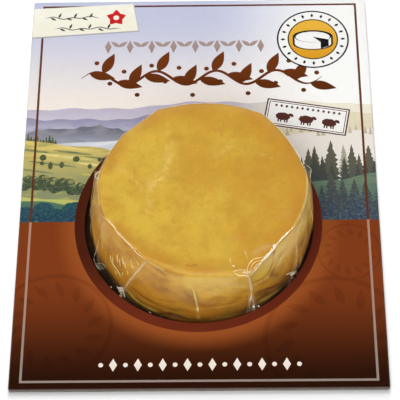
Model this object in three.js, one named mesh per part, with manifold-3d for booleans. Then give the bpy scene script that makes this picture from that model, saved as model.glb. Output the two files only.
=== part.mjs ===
// A small smoked cheese wheel sealed in clear film, shown through the round window of a flat carton sleeve.
// Millimetres, +Z up, +Y towards the top edge of the sleeve's print.
// The origin is under the middle of the sleeve, on the surface that it lies on.

import * as THREE from 'three';
import { mergeVertices } from 'three/addons/utils/BufferGeometryUtils.js';
import Module from 'manifold-3d';

// Sleeve, a folded carton that is closed at its four edges
const SLEEVE_WIDTH = 170;
const SLEEVE_LENGTH = 220;
const SLEEVE_DEPTH = 2.6;
const BOARD = 0.5;
const FOLD_RADIUS = 0.6;
const SLEEVE_CORNER = 0.5;
const WINDOW_RADIUS = 54;
const WINDOW_Y = -23;

// Room between pieces that touch
const GAP = 0.3;

// Wheel, measured over its film. Heights count from its underside
const WHEEL_HEIGHT = 32.8;
const WHEEL_RADIUS = 52.3;
const BASE_RADIUS = 51.4;
const BELLY_HEIGHT = 10;
const RIM_ROUND = 1.8;
const SHOULDER_POWER = 1.7;
const TOP_DISH = 0.8;
const TOP_SWELL = 0.35;

// The wheel leans: its underside and its top have their middles at different places
const BASE_MIDDLE = new THREE.Vector2(0.6, -25.1);
const TOP_MIDDLE = new THREE.Vector2(2.5, -22.3);

// The lower edge is pressed in at the front left
const PRESS_DEPTH = 1.9;
const PRESS_ANGLE = 214;
const PRESS_SPREAD = 26;
const PRESS_HEIGHT = 12;

// Soft lumps of the side
const LUMP = 0.35;
const LUMP_WAVES = [3, 5, 8];

// Film: the skirt that lies under the board, and the pleats, webs of film from the rim down to the board
const SKIRT_RADIUS = 60;
const SKIRT_THICKNESS = 0.4;
const WEB_HALF_ANGLE = 0.55;
const GUSSET_SPREAD = 5;
const GUSSET_HEIGHT = 9;
const WEB_SAG = 0.6;

// Each pleat from +X round: its angles at the rim and at the board, the rim's radius there, how far its
// ear stands out of the rim, its foot's radius, and the rim's run to the next pleat, 0 straight to 1 round
const PLEATS = [
  { rimAngle: 9, footAngle: 8, rimRadius: 48.1, ear: 1.8, footRadius: 53.4, run: 0.5 },
  { rimAngle: 56, footAngle: 54, rimRadius: 49, ear: 0, footRadius: 53, run: 0.3 },
  { rimAngle: 80, footAngle: 84, rimRadius: 47, ear: 0, footRadius: 53, run: 0.65 },
  { rimAngle: 117, footAngle: 114, rimRadius: 48.7, ear: 0, footRadius: 53, run: 0 },
  { rimAngle: 142, footAngle: 145, rimRadius: 47.6, ear: 0, footRadius: 53, run: 0.65 },
  { rimAngle: 170, footAngle: 173, rimRadius: 48.6, ear: 1.9, footRadius: 53, run: 0.9 },
  { rimAngle: 201.6, footAngle: 205.5, rimRadius: 47.9, ear: 0.3, footRadius: 53.2, run: 0.1 },
  { rimAngle: 237.2, footAngle: 224.6, rimRadius: 46.9, ear: 0.2, footRadius: 53, run: 0.9 },
  { rimAngle: 264, footAngle: 270.9, rimRadius: 47.3, ear: 0, footRadius: 52.8, run: 0.1 },
  { rimAngle: 292.6, footAngle: 298.7, rimRadius: 51.4, ear: 0.2, footRadius: 53.4, run: 0.05 },
  { rimAngle: 331, footAngle: 322, rimRadius: 46.9, ear: 0.2, footRadius: 53.4, run: 1 },
];

// Fineness of the wheel's mesh
const COLUMN_STEP = 5;
const PLEAT_COLUMNS = [-3, -1.1, -0.5, 0, 0.5, 1.1, 3];
const SIDE_HEIGHTS = [0.7, 1.6, 3.4, 6, 9, 12.5, 16, 19.5, 23, 26, 28.8, 31];
const ROUND_STEPS = 3;
const TOP_RINGS = [0.93, 0.8, 0.6, 0.38, 0.18];
const WINDOW_SIDES = 96;

const SLEEVE_FINISH = new THREE.MeshStandardMaterial({ color: 0x8c451f, roughness: 0.45, metalness: 0 });
const CHEESE_FINISH = new THREE.MeshStandardMaterial({ color: 0xcd9834, roughness: 0.35, metalness: 0 });

const wasm = await Module();
wasm.setup();

// A closed geometry as a solid that can be cut
function toSolid(geometry) {
  const bare = geometry.clone();
  bare.deleteAttribute('normal');
  bare.deleteAttribute('uv');
  const merged = mergeVertices(bare);
  return new wasm.Manifold(new wasm.Mesh({
    numProp: 3,
    vertProperties: new Float32Array(merged.attributes.position.array),
    triVerts: new Uint32Array(merged.index.array),
  }));
}

// A cut solid as a geometry again
function toGeometry(solid) {
  const mesh = solid.getMesh();
  return indexedGeometry(mesh.vertProperties, mesh.triVerts);
}

function indexedGeometry(positions, triangles) {
  const geometry = new THREE.BufferGeometry();
  geometry.setAttribute('position', new THREE.BufferAttribute(new Float32Array(positions), 3));
  geometry.setIndex(new THREE.BufferAttribute(new Uint32Array(triangles), 1));
  geometry.computeVertexNormals();
  return geometry;
}

// The sleeve's outline, inset from its edges, with round corners
function sleeveOutline(inset) {
  const x = SLEEVE_WIDTH / 2 - inset - SLEEVE_CORNER;
  const y = SLEEVE_LENGTH / 2 - inset - SLEEVE_CORNER;
  const shape = new THREE.Shape();
  [[x, y], [-x, y], [-x, -y], [x, -y]].forEach(([cornerX, cornerY], quarter) => {
    const start = quarter * Math.PI / 2;
    shape.absarc(cornerX, cornerY, SLEEVE_CORNER, start, start + Math.PI / 2);
  });
  return shape;
}

// One board folded round a flat space, with the window cut through its front
function sleeveGeometry() {
  const outer = new THREE.ExtrudeGeometry(sleeveOutline(FOLD_RADIUS), {
    depth: SLEEVE_DEPTH - 2 * FOLD_RADIUS,
    bevelThickness: FOLD_RADIUS,
    bevelSize: FOLD_RADIUS,
    bevelSegments: 3,
    curveSegments: 3,
  });
  outer.translate(0, 0, FOLD_RADIUS);
  const space = new THREE.BoxGeometry(
    SLEEVE_WIDTH - 2 * BOARD, SLEEVE_LENGTH - 2 * BOARD, SLEEVE_DEPTH - 2 * BOARD);
  space.translate(0, 0, SLEEVE_DEPTH / 2);
  const cutout = new THREE.CylinderGeometry(WINDOW_RADIUS, WINDOW_RADIUS, SLEEVE_DEPTH, WINDOW_SIDES);
  cutout.rotateX(Math.PI / 2);
  cutout.translate(0, WINDOW_Y, SLEEVE_DEPTH);
  return toGeometry(toSolid(outer).subtract(toSolid(space)).subtract(toSolid(cutout)));
}

const radians = THREE.MathUtils.degToRad;

// The pleat at or before an angle, the next one, and how far the angle lies between them
function pleatSpan(angle) {
  const turned = THREE.MathUtils.euclideanModulo(angle - PLEATS[0].rimAngle, 360);
  let index = PLEATS.length - 1;
  while (PLEATS[index].rimAngle - PLEATS[0].rimAngle > turned) index -= 1;
  const from = PLEATS[index];
  const to = PLEATS[(index + 1) % PLEATS.length];
  const width = THREE.MathUtils.euclideanModulo(to.rimAngle - from.rimAngle, 360);
  const share = (turned - (from.rimAngle - PLEATS[0].rimAngle)) / width;
  return { from, to, width, share };
}

// The rim's radius: a straight chord or a round run from one pleat to the next
function rimRadius(angle) {
  const { from, to, width, share } = pleatSpan(angle);
  const a = radians(share * width);
  const b = radians((1 - share) * width);
  const chord = from.rimRadius * to.rimRadius * Math.sin(a + b)
    / (from.rimRadius * Math.sin(a) + to.rimRadius * Math.sin(b));
  const round = THREE.MathUtils.lerp(from.rimRadius, to.rimRadius, share);
  return THREE.MathUtils.lerp(chord, round, from.run);
}

// How far the side turns by the board, because a pleat's foot isn't straight under its rim
function footTurn(angle) {
  const { from, to, share } = pleatSpan(angle);
  return THREE.MathUtils.lerp(from.footAngle - from.rimAngle, to.footAngle - to.rimAngle, share);
}

// Smallest turn from one angle to another, either way
function turnBetween(angle, other) {
  return THREE.MathUtils.euclideanModulo(angle - other + 180, 360) - 180;
}

// The wheel's side without its film webs
function bodyRadius(angle, height) {
  const press = Math.exp(-((turnBetween(angle, PRESS_ANGLE) / PRESS_SPREAD) ** 2))
    * PRESS_DEPTH * Math.max(0, 1 - height / PRESS_HEIGHT);
  let lump = 0;
  LUMP_WAVES.forEach((waves, order) => {
    lump += Math.sin(radians(angle) * waves + height * 0.11 * (order + 1) + order * 2) / (order + 2);
  });
  if (height < BELLY_HEIGHT) {
    const rise = Math.sin(height / BELLY_HEIGHT * Math.PI / 2);
    return THREE.MathUtils.lerp(BASE_RADIUS, WHEEL_RADIUS, rise) - press + LUMP * lump;
  }
  const share = (height - BELLY_HEIGHT) / (WHEEL_HEIGHT - RIM_ROUND - BELLY_HEIGHT);
  const side = THREE.MathUtils.lerp(WHEEL_RADIUS, rimRadius(angle), share ** SHOULDER_POWER);
  return side - press + LUMP * lump * (1 - share);
}

// The wheel's side with the web of the nearest pleat, which spreads into a gusset at the board
function wrappedRadius(angle, height) {
  const body = bodyRadius(angle, height);
  let radius = body;
  for (const pleat of PLEATS) {
    const away = Math.abs(turnBetween(angle, pleat.rimAngle));
    const low = Math.max(0, 1 - height / GUSSET_HEIGHT);
    const reach = WEB_HALF_ANGLE * 2 + GUSSET_SPREAD * low * low;
    if (away < reach) {
      const share = height / (WHEEL_HEIGHT - RIM_ROUND);
      const web = THREE.MathUtils.lerp(pleat.footRadius, pleat.rimRadius + pleat.ear, share)
        - WEB_SAG * Math.sin(share * Math.PI);
      const across = THREE.MathUtils.smoothstep(away, WEB_HALF_ANGLE, reach);
      radius = Math.max(radius, THREE.MathUtils.lerp(web, body, across));
    }
  }
  return radius;
}

// The wheel's middle line leans from its underside to its top
function middleAt(height) {
  return BASE_MIDDLE.clone().lerp(TOP_MIDDLE, height / WHEEL_HEIGHT);
}

// A point of the wheel, kept inside the window's edge where it passes the board
function wheelPoint(angle, height, radius) {
  const low = 1 - height / WHEEL_HEIGHT;
  const direction = radians(angle + footTurn(angle) * low);
  const middle = middleAt(height);
  const point = new THREE.Vector2(
    middle.x + radius * Math.cos(direction), middle.y + radius * Math.sin(direction));
  const windowMiddle = new THREE.Vector2(0, WINDOW_Y);
  point.sub(windowMiddle).clampLength(0, WINDOW_RADIUS - GAP).add(windowMiddle);
  return [point.x, point.y, BOARD + GAP + height];
}

// Height of the top face, slightly sunk and uneven, by the share of the way from middle to rim
function topHeight(angle, share) {
  const swell = TOP_SWELL * Math.sin(radians(angle) * 2 + 1) * share * (1 - share) * 4;
  return WHEEL_HEIGHT - TOP_DISH * (1 - share * share) + swell;
}

// Angles of the mesh's columns: even steps, with close ones at each pleat
function columnAngles() {
  const angles = [];
  const room = COLUMN_STEP / 2 + PLEAT_COLUMNS[PLEAT_COLUMNS.length - 1];
  for (let angle = 0; angle < 360; angle += COLUMN_STEP) {
    if (PLEATS.every((pleat) => Math.abs(turnBetween(angle, pleat.rimAngle)) > room)) angles.push(angle);
  }
  for (const pleat of PLEATS) {
    for (const offset of PLEAT_COLUMNS) angles.push(pleat.rimAngle + offset);
  }
  return angles.sort((a, b) => a - b);
}

// Points of one column, from the skirt's lower edge up the side and in over the rim
function wheelColumn(angle) {
  const direction = radians(angle);
  const skirt = [SKIRT_RADIUS * Math.cos(direction), WINDOW_Y + SKIRT_RADIUS * Math.sin(direction)];
  const points = [
    [...skirt, BOARD + GAP],
    [...skirt, BOARD + GAP + SKIRT_THICKNESS],
  ];
  for (const height of SIDE_HEIGHTS) points.push(wheelPoint(angle, height, wrappedRadius(angle, height)));
  const edge = wrappedRadius(angle, WHEEL_HEIGHT - RIM_ROUND);
  for (let step = 1; step <= ROUND_STEPS; step += 1) {
    const bend = step / ROUND_STEPS * Math.PI / 2;
    const height = WHEEL_HEIGHT - RIM_ROUND * (1 - Math.sin(bend));
    points.push(wheelPoint(angle, height, edge - RIM_ROUND * (1 - Math.cos(bend))));
  }
  const rim = rimRadius(angle) - RIM_ROUND;
  for (const share of TOP_RINGS) points.push(wheelPoint(angle, topHeight(angle, share), rim * share));
  return points;
}

// The film-wrapped wheel as one closed skin of columns between two poles
function sealedCheeseGeometry() {
  const columns = columnAngles().map(wheelColumn);
  const rows = columns[0].length;
  const positions = columns.flat(2);
  const under = columns.length * rows;
  const over = under + 1;
  positions.push(0, WINDOW_Y, BOARD + GAP);
  positions.push(TOP_MIDDLE.x, TOP_MIDDLE.y, BOARD + GAP + WHEEL_HEIGHT - TOP_DISH);
  const triangles = [];
  columns.forEach((points, index) => {
    const here = index * rows;
    const next = (index + 1) % columns.length * rows;
    triangles.push(under, next, here);
    for (let row = 0; row < rows - 1; row += 1) {
      triangles.push(here + row, next + row, next + row + 1);
      triangles.push(here + row, next + row + 1, here + row + 1);
    }
    triangles.push(over, here + rows - 1, next + rows - 1);
  });
  return indexedGeometry(positions, triangles);
}

function part(name, geometry, material) {
  const mesh = new THREE.Mesh(geometry, material);
  mesh.name = name;
  return mesh;
}

const pack = new THREE.Group();
pack.add(part('sleeve', sleeveGeometry(), SLEEVE_FINISH));
pack.add(part('sealed_cheese', sealedCheeseGeometry(), CHEESE_FINISH));

export default pack;
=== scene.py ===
"""A small smoked cheese wheel, drawn tight in clear film, in the round window of a printed carton sleeve.

Sizes and places of the pack are millimetres and degrees, and meshes turn into metres as they are made.
The studio's floor, lights and camera are in metres, and the camera's turns in radians.
"""
import logging
import math
import random
from collections.abc import Callable, Iterable, Sequence
from dataclasses import dataclass, field
from enum import Enum

import bmesh
import bpy
import numpy as np
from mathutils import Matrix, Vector, geometry, noise


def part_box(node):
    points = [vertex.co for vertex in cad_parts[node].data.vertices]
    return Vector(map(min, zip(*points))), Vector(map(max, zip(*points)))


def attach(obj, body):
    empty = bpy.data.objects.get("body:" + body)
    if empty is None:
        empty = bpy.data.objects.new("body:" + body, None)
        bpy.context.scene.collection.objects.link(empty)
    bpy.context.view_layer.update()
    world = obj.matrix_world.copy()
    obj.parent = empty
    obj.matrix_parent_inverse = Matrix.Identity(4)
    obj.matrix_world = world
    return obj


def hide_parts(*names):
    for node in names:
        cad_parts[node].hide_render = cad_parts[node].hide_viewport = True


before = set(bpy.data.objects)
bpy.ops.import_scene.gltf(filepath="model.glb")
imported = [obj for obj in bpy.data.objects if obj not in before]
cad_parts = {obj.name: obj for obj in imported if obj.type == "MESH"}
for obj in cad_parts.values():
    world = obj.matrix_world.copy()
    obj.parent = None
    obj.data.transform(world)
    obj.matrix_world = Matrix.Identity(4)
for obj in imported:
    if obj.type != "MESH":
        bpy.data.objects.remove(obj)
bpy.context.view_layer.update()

MM = 0.001
FULL_TURN = 360.0
ROOT = "root"

Array = np.ndarray
Colour = tuple[float, float, float, float]
Point = tuple[float, float]
Levels = tuple[int, int, int]
Outline = list[Point]
Socket = bpy.types.NodeSocket
Material = bpy.types.Material

log = logging.getLogger("cheese_pack")


def screen(red: int, green: int, blue: int) -> Colour:
    """Gives the linear colour of one stated as it looks on a screen.

    Args:
        red: Red from 0 to 255.
        green: Green from 0 to 255.
        blue: Blue from 0 to 255.

    Returns:
        The linear colour with full alpha.
    """
    shares = (value / 255 for value in (red, green, blue))
    linear = [s / 12.92 if s <= 0.04045 else ((s + 0.055) / 1.055) ** 2.4 for s in shares]
    return (linear[0], linear[1], linear[2], 1.0)


def turn_between(angle: Array, other: float) -> Array:
    """Gives the smallest turn from other to each angle, from -180 to 180."""
    return np.mod(angle - other + FULL_TURN / 2, FULL_TURN) - FULL_TURN / 2


def smooth_step(value: Array, low: float, high: float) -> Array:
    """Gives 0 below low, 1 above high and a smooth rise between."""
    share = np.clip((value - low) / (high - low), 0.0, 1.0)
    return share * share * (3.0 - 2.0 * share)


def noise_at(points: Array, size: float, seed: float) -> Array:
    """Gives smooth noise at points in space.

    Args:
        points: Points in mm, with x, y and z along the last axis.
        size: How far apart the bumps are, in mm.
        seed: Shifts the pattern.

    Returns:
        A number from about -1 to 1 for each point.
    """
    flat = points.reshape(-1, 3) / size + seed
    return np.array([noise.noise(Vector(p)) for p in flat]).reshape(points.shape[:-1])


def bell(value: Array, width: Array | float) -> Array:
    """Gives 1 where the value is 0, with a smooth fall to both sides over the width."""
    return np.exp(-((value / width) ** 2))


# Meshes


@dataclass
class Skin:
    """Points and faces of a mesh that is being made, in mm, with one material number for each face."""

    points: list[Sequence[float]] = field(default_factory=list)
    faces: list[Sequence[int]] = field(default_factory=list)
    materials: list[int] = field(default_factory=list)
    values: dict[str, list[float]] = field(default_factory=dict)

    def add_face(self, corners: Sequence[int], material: int = 0) -> None:
        """Adds one face."""
        self.faces.append(corners)
        self.materials.append(material)

    def add_grid(self, grid: Array, closed_columns: bool = False, closed_rows: bool = False) -> int:
        """Adds the points of a grid and the faces between them.

        Args:
            grid: Points by column and row.
            closed_columns: Whether the last column joins the first.
            closed_rows: Whether the last row joins the first.

        Returns:
            The number of the grid's first point.
        """
        first = len(self.points)
        columns, rows = grid.shape[:2]
        self.points.extend(grid.reshape(-1, 3).tolist())
        for column in range(columns if closed_columns else columns - 1):
            here = first + column * rows
            there = first + (column + 1) % columns * rows
            for row in range(rows if closed_rows else rows - 1):
                above = (row + 1) % rows
                self.add_face((here + row, there + row, there + above, here + above))
        return first

    def add_pole(self, point: Sequence[float], ring: Sequence[int]) -> None:
        """Closes a ring of points with a fan of triangles to one point.

        Args:
            point: The one point.
            ring: Point numbers of the ring, in order.
        """
        pole = len(self.points)
        self.points.append(point)
        for index, corner in enumerate(ring):
            self.add_face((corner, ring[(index + 1) % len(ring)], pole))

    def add_dome(self, grid: Array, top: Sequence[float], base: Sequence[float]) -> None:
        """Adds closed columns that run up from a base, with a fan to one point at the top and at the base.

        Args:
            grid: Points by column and row, each column from the base up.
            top: The point at the top.
            base: The point at the base.
        """
        columns, rows = grid.shape[:2]
        first = self.add_grid(grid, closed_columns=True)
        self.add_pole(top, [first + column * rows + rows - 1 for column in range(columns)])
        self.add_pole(base, [first + column * rows for column in reversed(range(columns))])

    def carry(self, name: str, numbers: Array, *poles: float) -> None:
        """Gives each point of the one grid a number, and then each pole."""
        self.values[name] = [*numbers.ravel().tolist(), *poles]

    def add_band(self, upper: Sequence[int], lower: Sequence[int], material: int = 0) -> None:
        """Joins two closed rings of points with faces of one material."""
        for index in range(len(upper)):
            after = (index + 1) % len(upper)
            self.add_face((upper[index], lower[index], lower[after], upper[after]), material)

    def to_object(self, name: str, finishes: Sequence[Material], sharp: float) -> bpy.types.Object:
        """Makes the Blender object.

        Args:
            name: Name of the piece.
            finishes: Its materials, in the order of the face numbers.
            sharp: Edges that bend more than this many degrees stay sharp.

        Returns:
            The new object, linked to the scene.
        """
        mesh = bpy.data.meshes.new(name)
        mesh.from_pydata([[value * MM for value in point] for point in self.points], [], self.faces)
        mesh.polygons.foreach_set("material_index", self.materials)
        for key, numbers in self.values.items():
            layer = mesh.attributes.new(key, "FLOAT", "POINT")
            layer.data.foreach_set("value", numbers)
        for finish in finishes:
            mesh.materials.append(finish)
        shape = bmesh.new()
        shape.from_mesh(mesh)
        bmesh.ops.recalc_face_normals(shape, faces=shape.faces)
        shape.to_mesh(mesh)
        shape.free()
        mesh.shade_smooth()
        mesh.set_sharp_from_angle(angle=math.radians(sharp))
        piece = bpy.data.objects.new(name, mesh)
        bpy.context.scene.collection.objects.link(piece)
        return piece


def smooth_path(knots: Sequence[Sequence[float]], steps: int) -> Array:
    """Runs a smooth curve through a few points.

    Args:
        knots: Points that the curve passes.
        steps: Steps between one point and the next.

    Returns:
        Points along the curve, with as many numbers each as the knots have.
    """
    spots = np.array(knots, float)
    padded = np.vstack([2 * spots[0] - spots[1], spots, 2 * spots[-1] - spots[-2]])
    path = []
    for index in range(1, len(padded) - 2):
        before, here, there, after = padded[index - 1:index + 3]
        for share in np.arange(steps) / steps:
            square, cube = share ** 2, share ** 3
            path.append(0.5 * (2 * here + (there - before) * share
                               + (2 * before - 5 * here + 4 * there - after) * square
                               + (3 * here - before - 3 * there + after) * cube))
    path.append(spots[-1])
    return np.array(path)


# Node trees


class NodeKit:
    """Adds and links nodes in one node tree. A value may be a number, a colour or another node's socket."""

    def __init__(self, tree: bpy.types.NodeTree) -> None:
        """Starts with an existing tree."""
        self.tree = tree

    def feed(self, target: Socket, value: object) -> None:
        """Links a socket to the target, or sets the target's own value."""
        if isinstance(value, Socket):
            self.tree.links.new(value, target)
        elif value is not None:
            target.default_value = value

    def add(self, kind: str, inputs: dict[int | str, object] | None = None,
            **settings: object) -> bpy.types.Node:
        """Adds a node.

        Args:
            kind: The node's type name.
            inputs: Values for its input sockets, by number or name.
            settings: Properties of the node.

        Returns:
            The new node.
        """
        node = self.tree.nodes.new(kind)
        for key, value in settings.items():
            setattr(node, key, value)
        for key, value in (inputs or {}).items():
            self.feed(node.inputs[key], value)
        return node

    def math(self, operation: str, first: object, second: object = None, clamp: bool = False) -> Socket:
        """Adds a Math node and gives its result."""
        node = self.add("ShaderNodeMath", {0: first, 1: second}, operation=operation, use_clamp=clamp)
        return node.outputs[0]

    def times(self, first: object, second: object, clamp: bool = False) -> Socket:
        """Multiplies two values."""
        return self.math("MULTIPLY", first, second, clamp)

    def plus(self, first: object, second: object, clamp: bool = False) -> Socket:
        """Adds two values."""
        return self.math("ADD", first, second, clamp)

    def minus(self, first: object, second: object) -> Socket:
        """Takes the second value from the first."""
        return self.math("SUBTRACT", first, second)

    def vector(self, operation: str, first: object, second: object = None) -> Socket:
        """Adds a Vector Math node and gives its number, if it measures something, or its vector.

        Args:
            operation: The node's operation.
            first: The first vector.
            second: The second vector, or the factor of SCALE.

        Returns:
            The result's socket.
        """
        key = "Scale" if operation == "SCALE" else 1
        node = self.add("ShaderNodeVectorMath", {0: first, key: second}, operation=operation)
        return node.outputs["Value" if operation in ("DOT_PRODUCT", "LENGTH", "DISTANCE") else "Vector"]

    def flat_point(self, x: object, y: object) -> Socket:
        """Joins two numbers to a vector with no height."""
        return self.add("ShaderNodeCombineXYZ", {0: x, 1: y}).outputs[0]

    def bump(self, height: object, strength: float, depth: float) -> Socket:
        """Adds relief of a depth in mm and gives its normal."""
        inputs = {"Strength": strength, "Distance": depth * MM, "Height": height}
        return self.add("ShaderNodeBump", inputs).outputs[0]

    def mix(self, share: object, first: object, second: object, blend: str = "MIX") -> Socket:
        """Mixes two colours and gives the result."""
        inputs = {0: share, 6: first, 7: second}
        return self.add("ShaderNodeMix", inputs, data_type="RGBA", blend_type=blend).outputs[2]

    def ramp(self, value: object, low: object, high: object, start: float = 0.0, end: float = 1.0,
             smooth: bool = True) -> Socket:
        """Turns a value between low and high into one between start and end.

        Args:
            value: The value.
            low: Where it gives start.
            high: Where it gives end.
            start: What it gives at low.
            end: What it gives at high.
            smooth: Whether it eases in and out.

        Returns:
            The result's socket.
        """
        kind = "SMOOTHSTEP" if smooth else "LINEAR"
        inputs = {0: value, 1: low, 2: high, 3: start, 4: end}
        return self.add("ShaderNodeMapRange", inputs, interpolation_type=kind).outputs[0]

    def noise(self, vector: object, size: float, detail: float = 2.0, rough: float = 0.5) -> Socket:
        """Adds noise with features of a size in mm and gives its value, around a half."""
        inputs = {"Vector": vector, "Scale": 1 / (size * MM), "Detail": detail, "Roughness": rough}
        return self.add("ShaderNodeTexNoise", inputs).outputs["Fac"]

    def stretched(self, vector: object, scale: Point | Sequence[float], turn: float = 0.0) -> Socket:
        """Scales and turns a vector about Z, and gives the result."""
        inputs = {"Vector": vector, "Rotation": (0, 0, math.radians(turn)), "Scale": tuple(scale)}
        return self.add("ShaderNodeMapping", inputs).outputs[0]

    def spot(self) -> Socket:
        """Gives the place on the object."""
        return self.add("ShaderNodeTexCoord").outputs["Object"]

    def carried(self, name: str) -> Socket:
        """Gives a value that the points of the mesh carry."""
        return self.add("ShaderNodeAttribute", attribute_name=name).outputs["Fac"]

    def grained(self, colour: object, shade: Socket) -> Socket:
        """Makes a colour lighter and darker by the grain's shade."""
        grey = self.add("ShaderNodeCombineColor", {0: shade, 1: shade, 2: shade}).outputs[0]
        return self.mix(1.0, colour, grey, "MULTIPLY")

    def group(self, tree: bpy.types.NodeTree, **inputs: object) -> bpy.types.Node:
        """Places a node group. An input's name has a low line where the socket's has a space.

        Args:
            tree: The group's tree.
            inputs: Values for its inputs.

        Returns:
            The new node.
        """
        node = self.tree.nodes.new("ShaderNodeGroup")
        node.node_tree = tree
        for key, value in inputs.items():
            self.feed(node.inputs[key.replace("_", " ")], value)
        return node

    def coat(self, output: bpy.types.Node, **inputs: object) -> None:
        """Adds a Principled shader, its inputs named as in group, and links it to the output.

        Args:
            output: The material's output node.
            inputs: Values for the shader's inputs.
        """
        shader = self.tree.nodes.new("ShaderNodeBsdfPrincipled")
        for key, value in inputs.items():
            self.feed(shader.inputs[key.replace("_", " ")], value)
        self.feed(output.inputs[0], shader.outputs[0])


class GroupKit(NodeKit):
    """Builds one shader node group."""

    def __init__(self, name: str, inputs: dict[str, float], outputs: Iterable[str]) -> None:
        """Makes the group's tree with its sockets.

        Args:
            name: The group's name.
            inputs: Each number that it takes, with its usual value.
            outputs: The name of each value that it puts out.
        """
        super().__init__(bpy.data.node_groups.new(name, "ShaderNodeTree"))
        for key, value in inputs.items():
            socket = self.tree.interface.new_socket(key, in_out="INPUT", socket_type="NodeSocketFloat")
            socket.default_value = value
        for key in outputs:
            self.tree.interface.new_socket(key, in_out="OUTPUT", socket_type="NodeSocketFloat")
        self.source = self.tree.nodes.new("NodeGroupInput").outputs
        self.sink = self.tree.nodes.new("NodeGroupOutput").inputs

    def put_out(self, **values: Socket) -> bpy.types.NodeTree:
        """Links the results to the group's outputs and gives the finished group."""
        for key, value in values.items():
            self.feed(self.sink[key.replace("_", " ")], value)
        return self.tree


class Effects:
    """Node groups that several materials share."""

    def __init__(self) -> None:
        """Builds every group once."""
        self.place = self._place()
        self.grain = self._grain()
        self.streak = self._streak()

    @staticmethod
    def _place() -> bpy.types.NodeTree:
        """Where a point is on the pack, in mm, and how far it is from the window's middle.

        Returns:
            The group's tree.
        """
        kit = GroupKit("pack_place", {}, ("X", "Y", "From Window"))
        spot = kit.spot()
        scaled = kit.vector("SCALE", spot, 1 / MM)
        parts = kit.add("ShaderNodeSeparateXYZ", {0: scaled}).outputs
        down = kit.minus(parts[1], SleeveSize.window_y)
        far = kit.vector("LENGTH", kit.flat_point(parts[0], down))
        return kit.put_out(X=parts[0], Y=parts[1], From_Window=far)

    @staticmethod
    def _grain() -> bpy.types.NodeTree:
        """Fine grain of two sizes, as a shade around one and as a height.

        Returns:
            The group's tree.
        """
        kit = GroupKit("fine_grain", {"Size": 0.6, "Contrast": 0.1}, ("Shade", "Height"))
        spot = kit.spot()
        scale = kit.math("DIVIDE", 1 / MM, kit.source["Size"])
        fine = kit.add("ShaderNodeTexNoise", {"Vector": spot, "Scale": scale, "Detail": 3.0}).outputs["Fac"]
        wide = kit.times(scale, 0.13)
        broad = kit.add("ShaderNodeTexNoise", {"Vector": spot, "Scale": wide, "Detail": 2.0}).outputs["Fac"]
        both = kit.plus(fine, broad)
        centred = kit.times(kit.minus(both, 1.0), kit.source["Contrast"])
        return kit.put_out(Shade=kit.plus(centred, 1.0), Height=fine)

    @staticmethod
    def _streak() -> bpy.types.NodeTree:
        """A soft mark along a straight line on the pack, seen from above, in mm.

        Returns:
            The group's tree.
        """
        names = {"Start X": 0.0, "Start Y": 0.0, "End X": 10.0, "End Y": 0.0, "Width": 2.0}
        kit = GroupKit("soft_streak", names, ("Mask",))
        spot = kit.spot()
        scaled = kit.vector("SCALE", spot, 1 / MM)
        flat = kit.vector("MULTIPLY", scaled, (1, 1, 0))
        start = kit.flat_point(kit.source["Start X"], kit.source["Start Y"])
        end = kit.flat_point(kit.source["End X"], kit.source["End Y"])
        along = kit.vector("SUBTRACT", end, start)
        to_spot = kit.vector("SUBTRACT", flat, start)
        reach = kit.vector("DOT_PRODUCT", to_spot, along)
        share = kit.math("DIVIDE", reach, kit.vector("DOT_PRODUCT", along, along), clamp=True)
        foot = kit.vector("SCALE", along, share)
        away = kit.vector("DISTANCE", to_spot, foot)
        return kit.put_out(Mask=kit.ramp(away, 0.0, kit.source["Width"], 1.0, 0.0))


def new_material(name: str) -> tuple[Material, NodeKit, bpy.types.Node]:
    """Makes an empty node material.

    Args:
        name: The material's name.

    Returns:
        The material, a kit for its tree and its output node.
    """
    material = bpy.data.materials.new(name)
    material.use_nodes = True
    material.node_tree.nodes.clear()
    kit = NodeKit(material.node_tree)
    return material, kit, kit.add("ShaderNodeOutputMaterial")


# Sizes that the frame gives


@dataclass(frozen=True)
class SleeveSize:
    """Sizes of the carton sleeve. The outer ones come from the frame."""

    width: float
    length: float
    depth: float
    board: float = 0.5
    fold_radius: float = 0.6
    corner: float = 0.5
    window_radius: float = 54.0
    window_y: float = -23.0

    @classmethod
    def from_frame(cls) -> "SleeveSize":
        """Reads the outer sizes from the sleeve's box."""
        low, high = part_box("sleeve")
        return cls(*((high[axis] - low[axis]) / MM for axis in range(3)))


# Print


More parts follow.
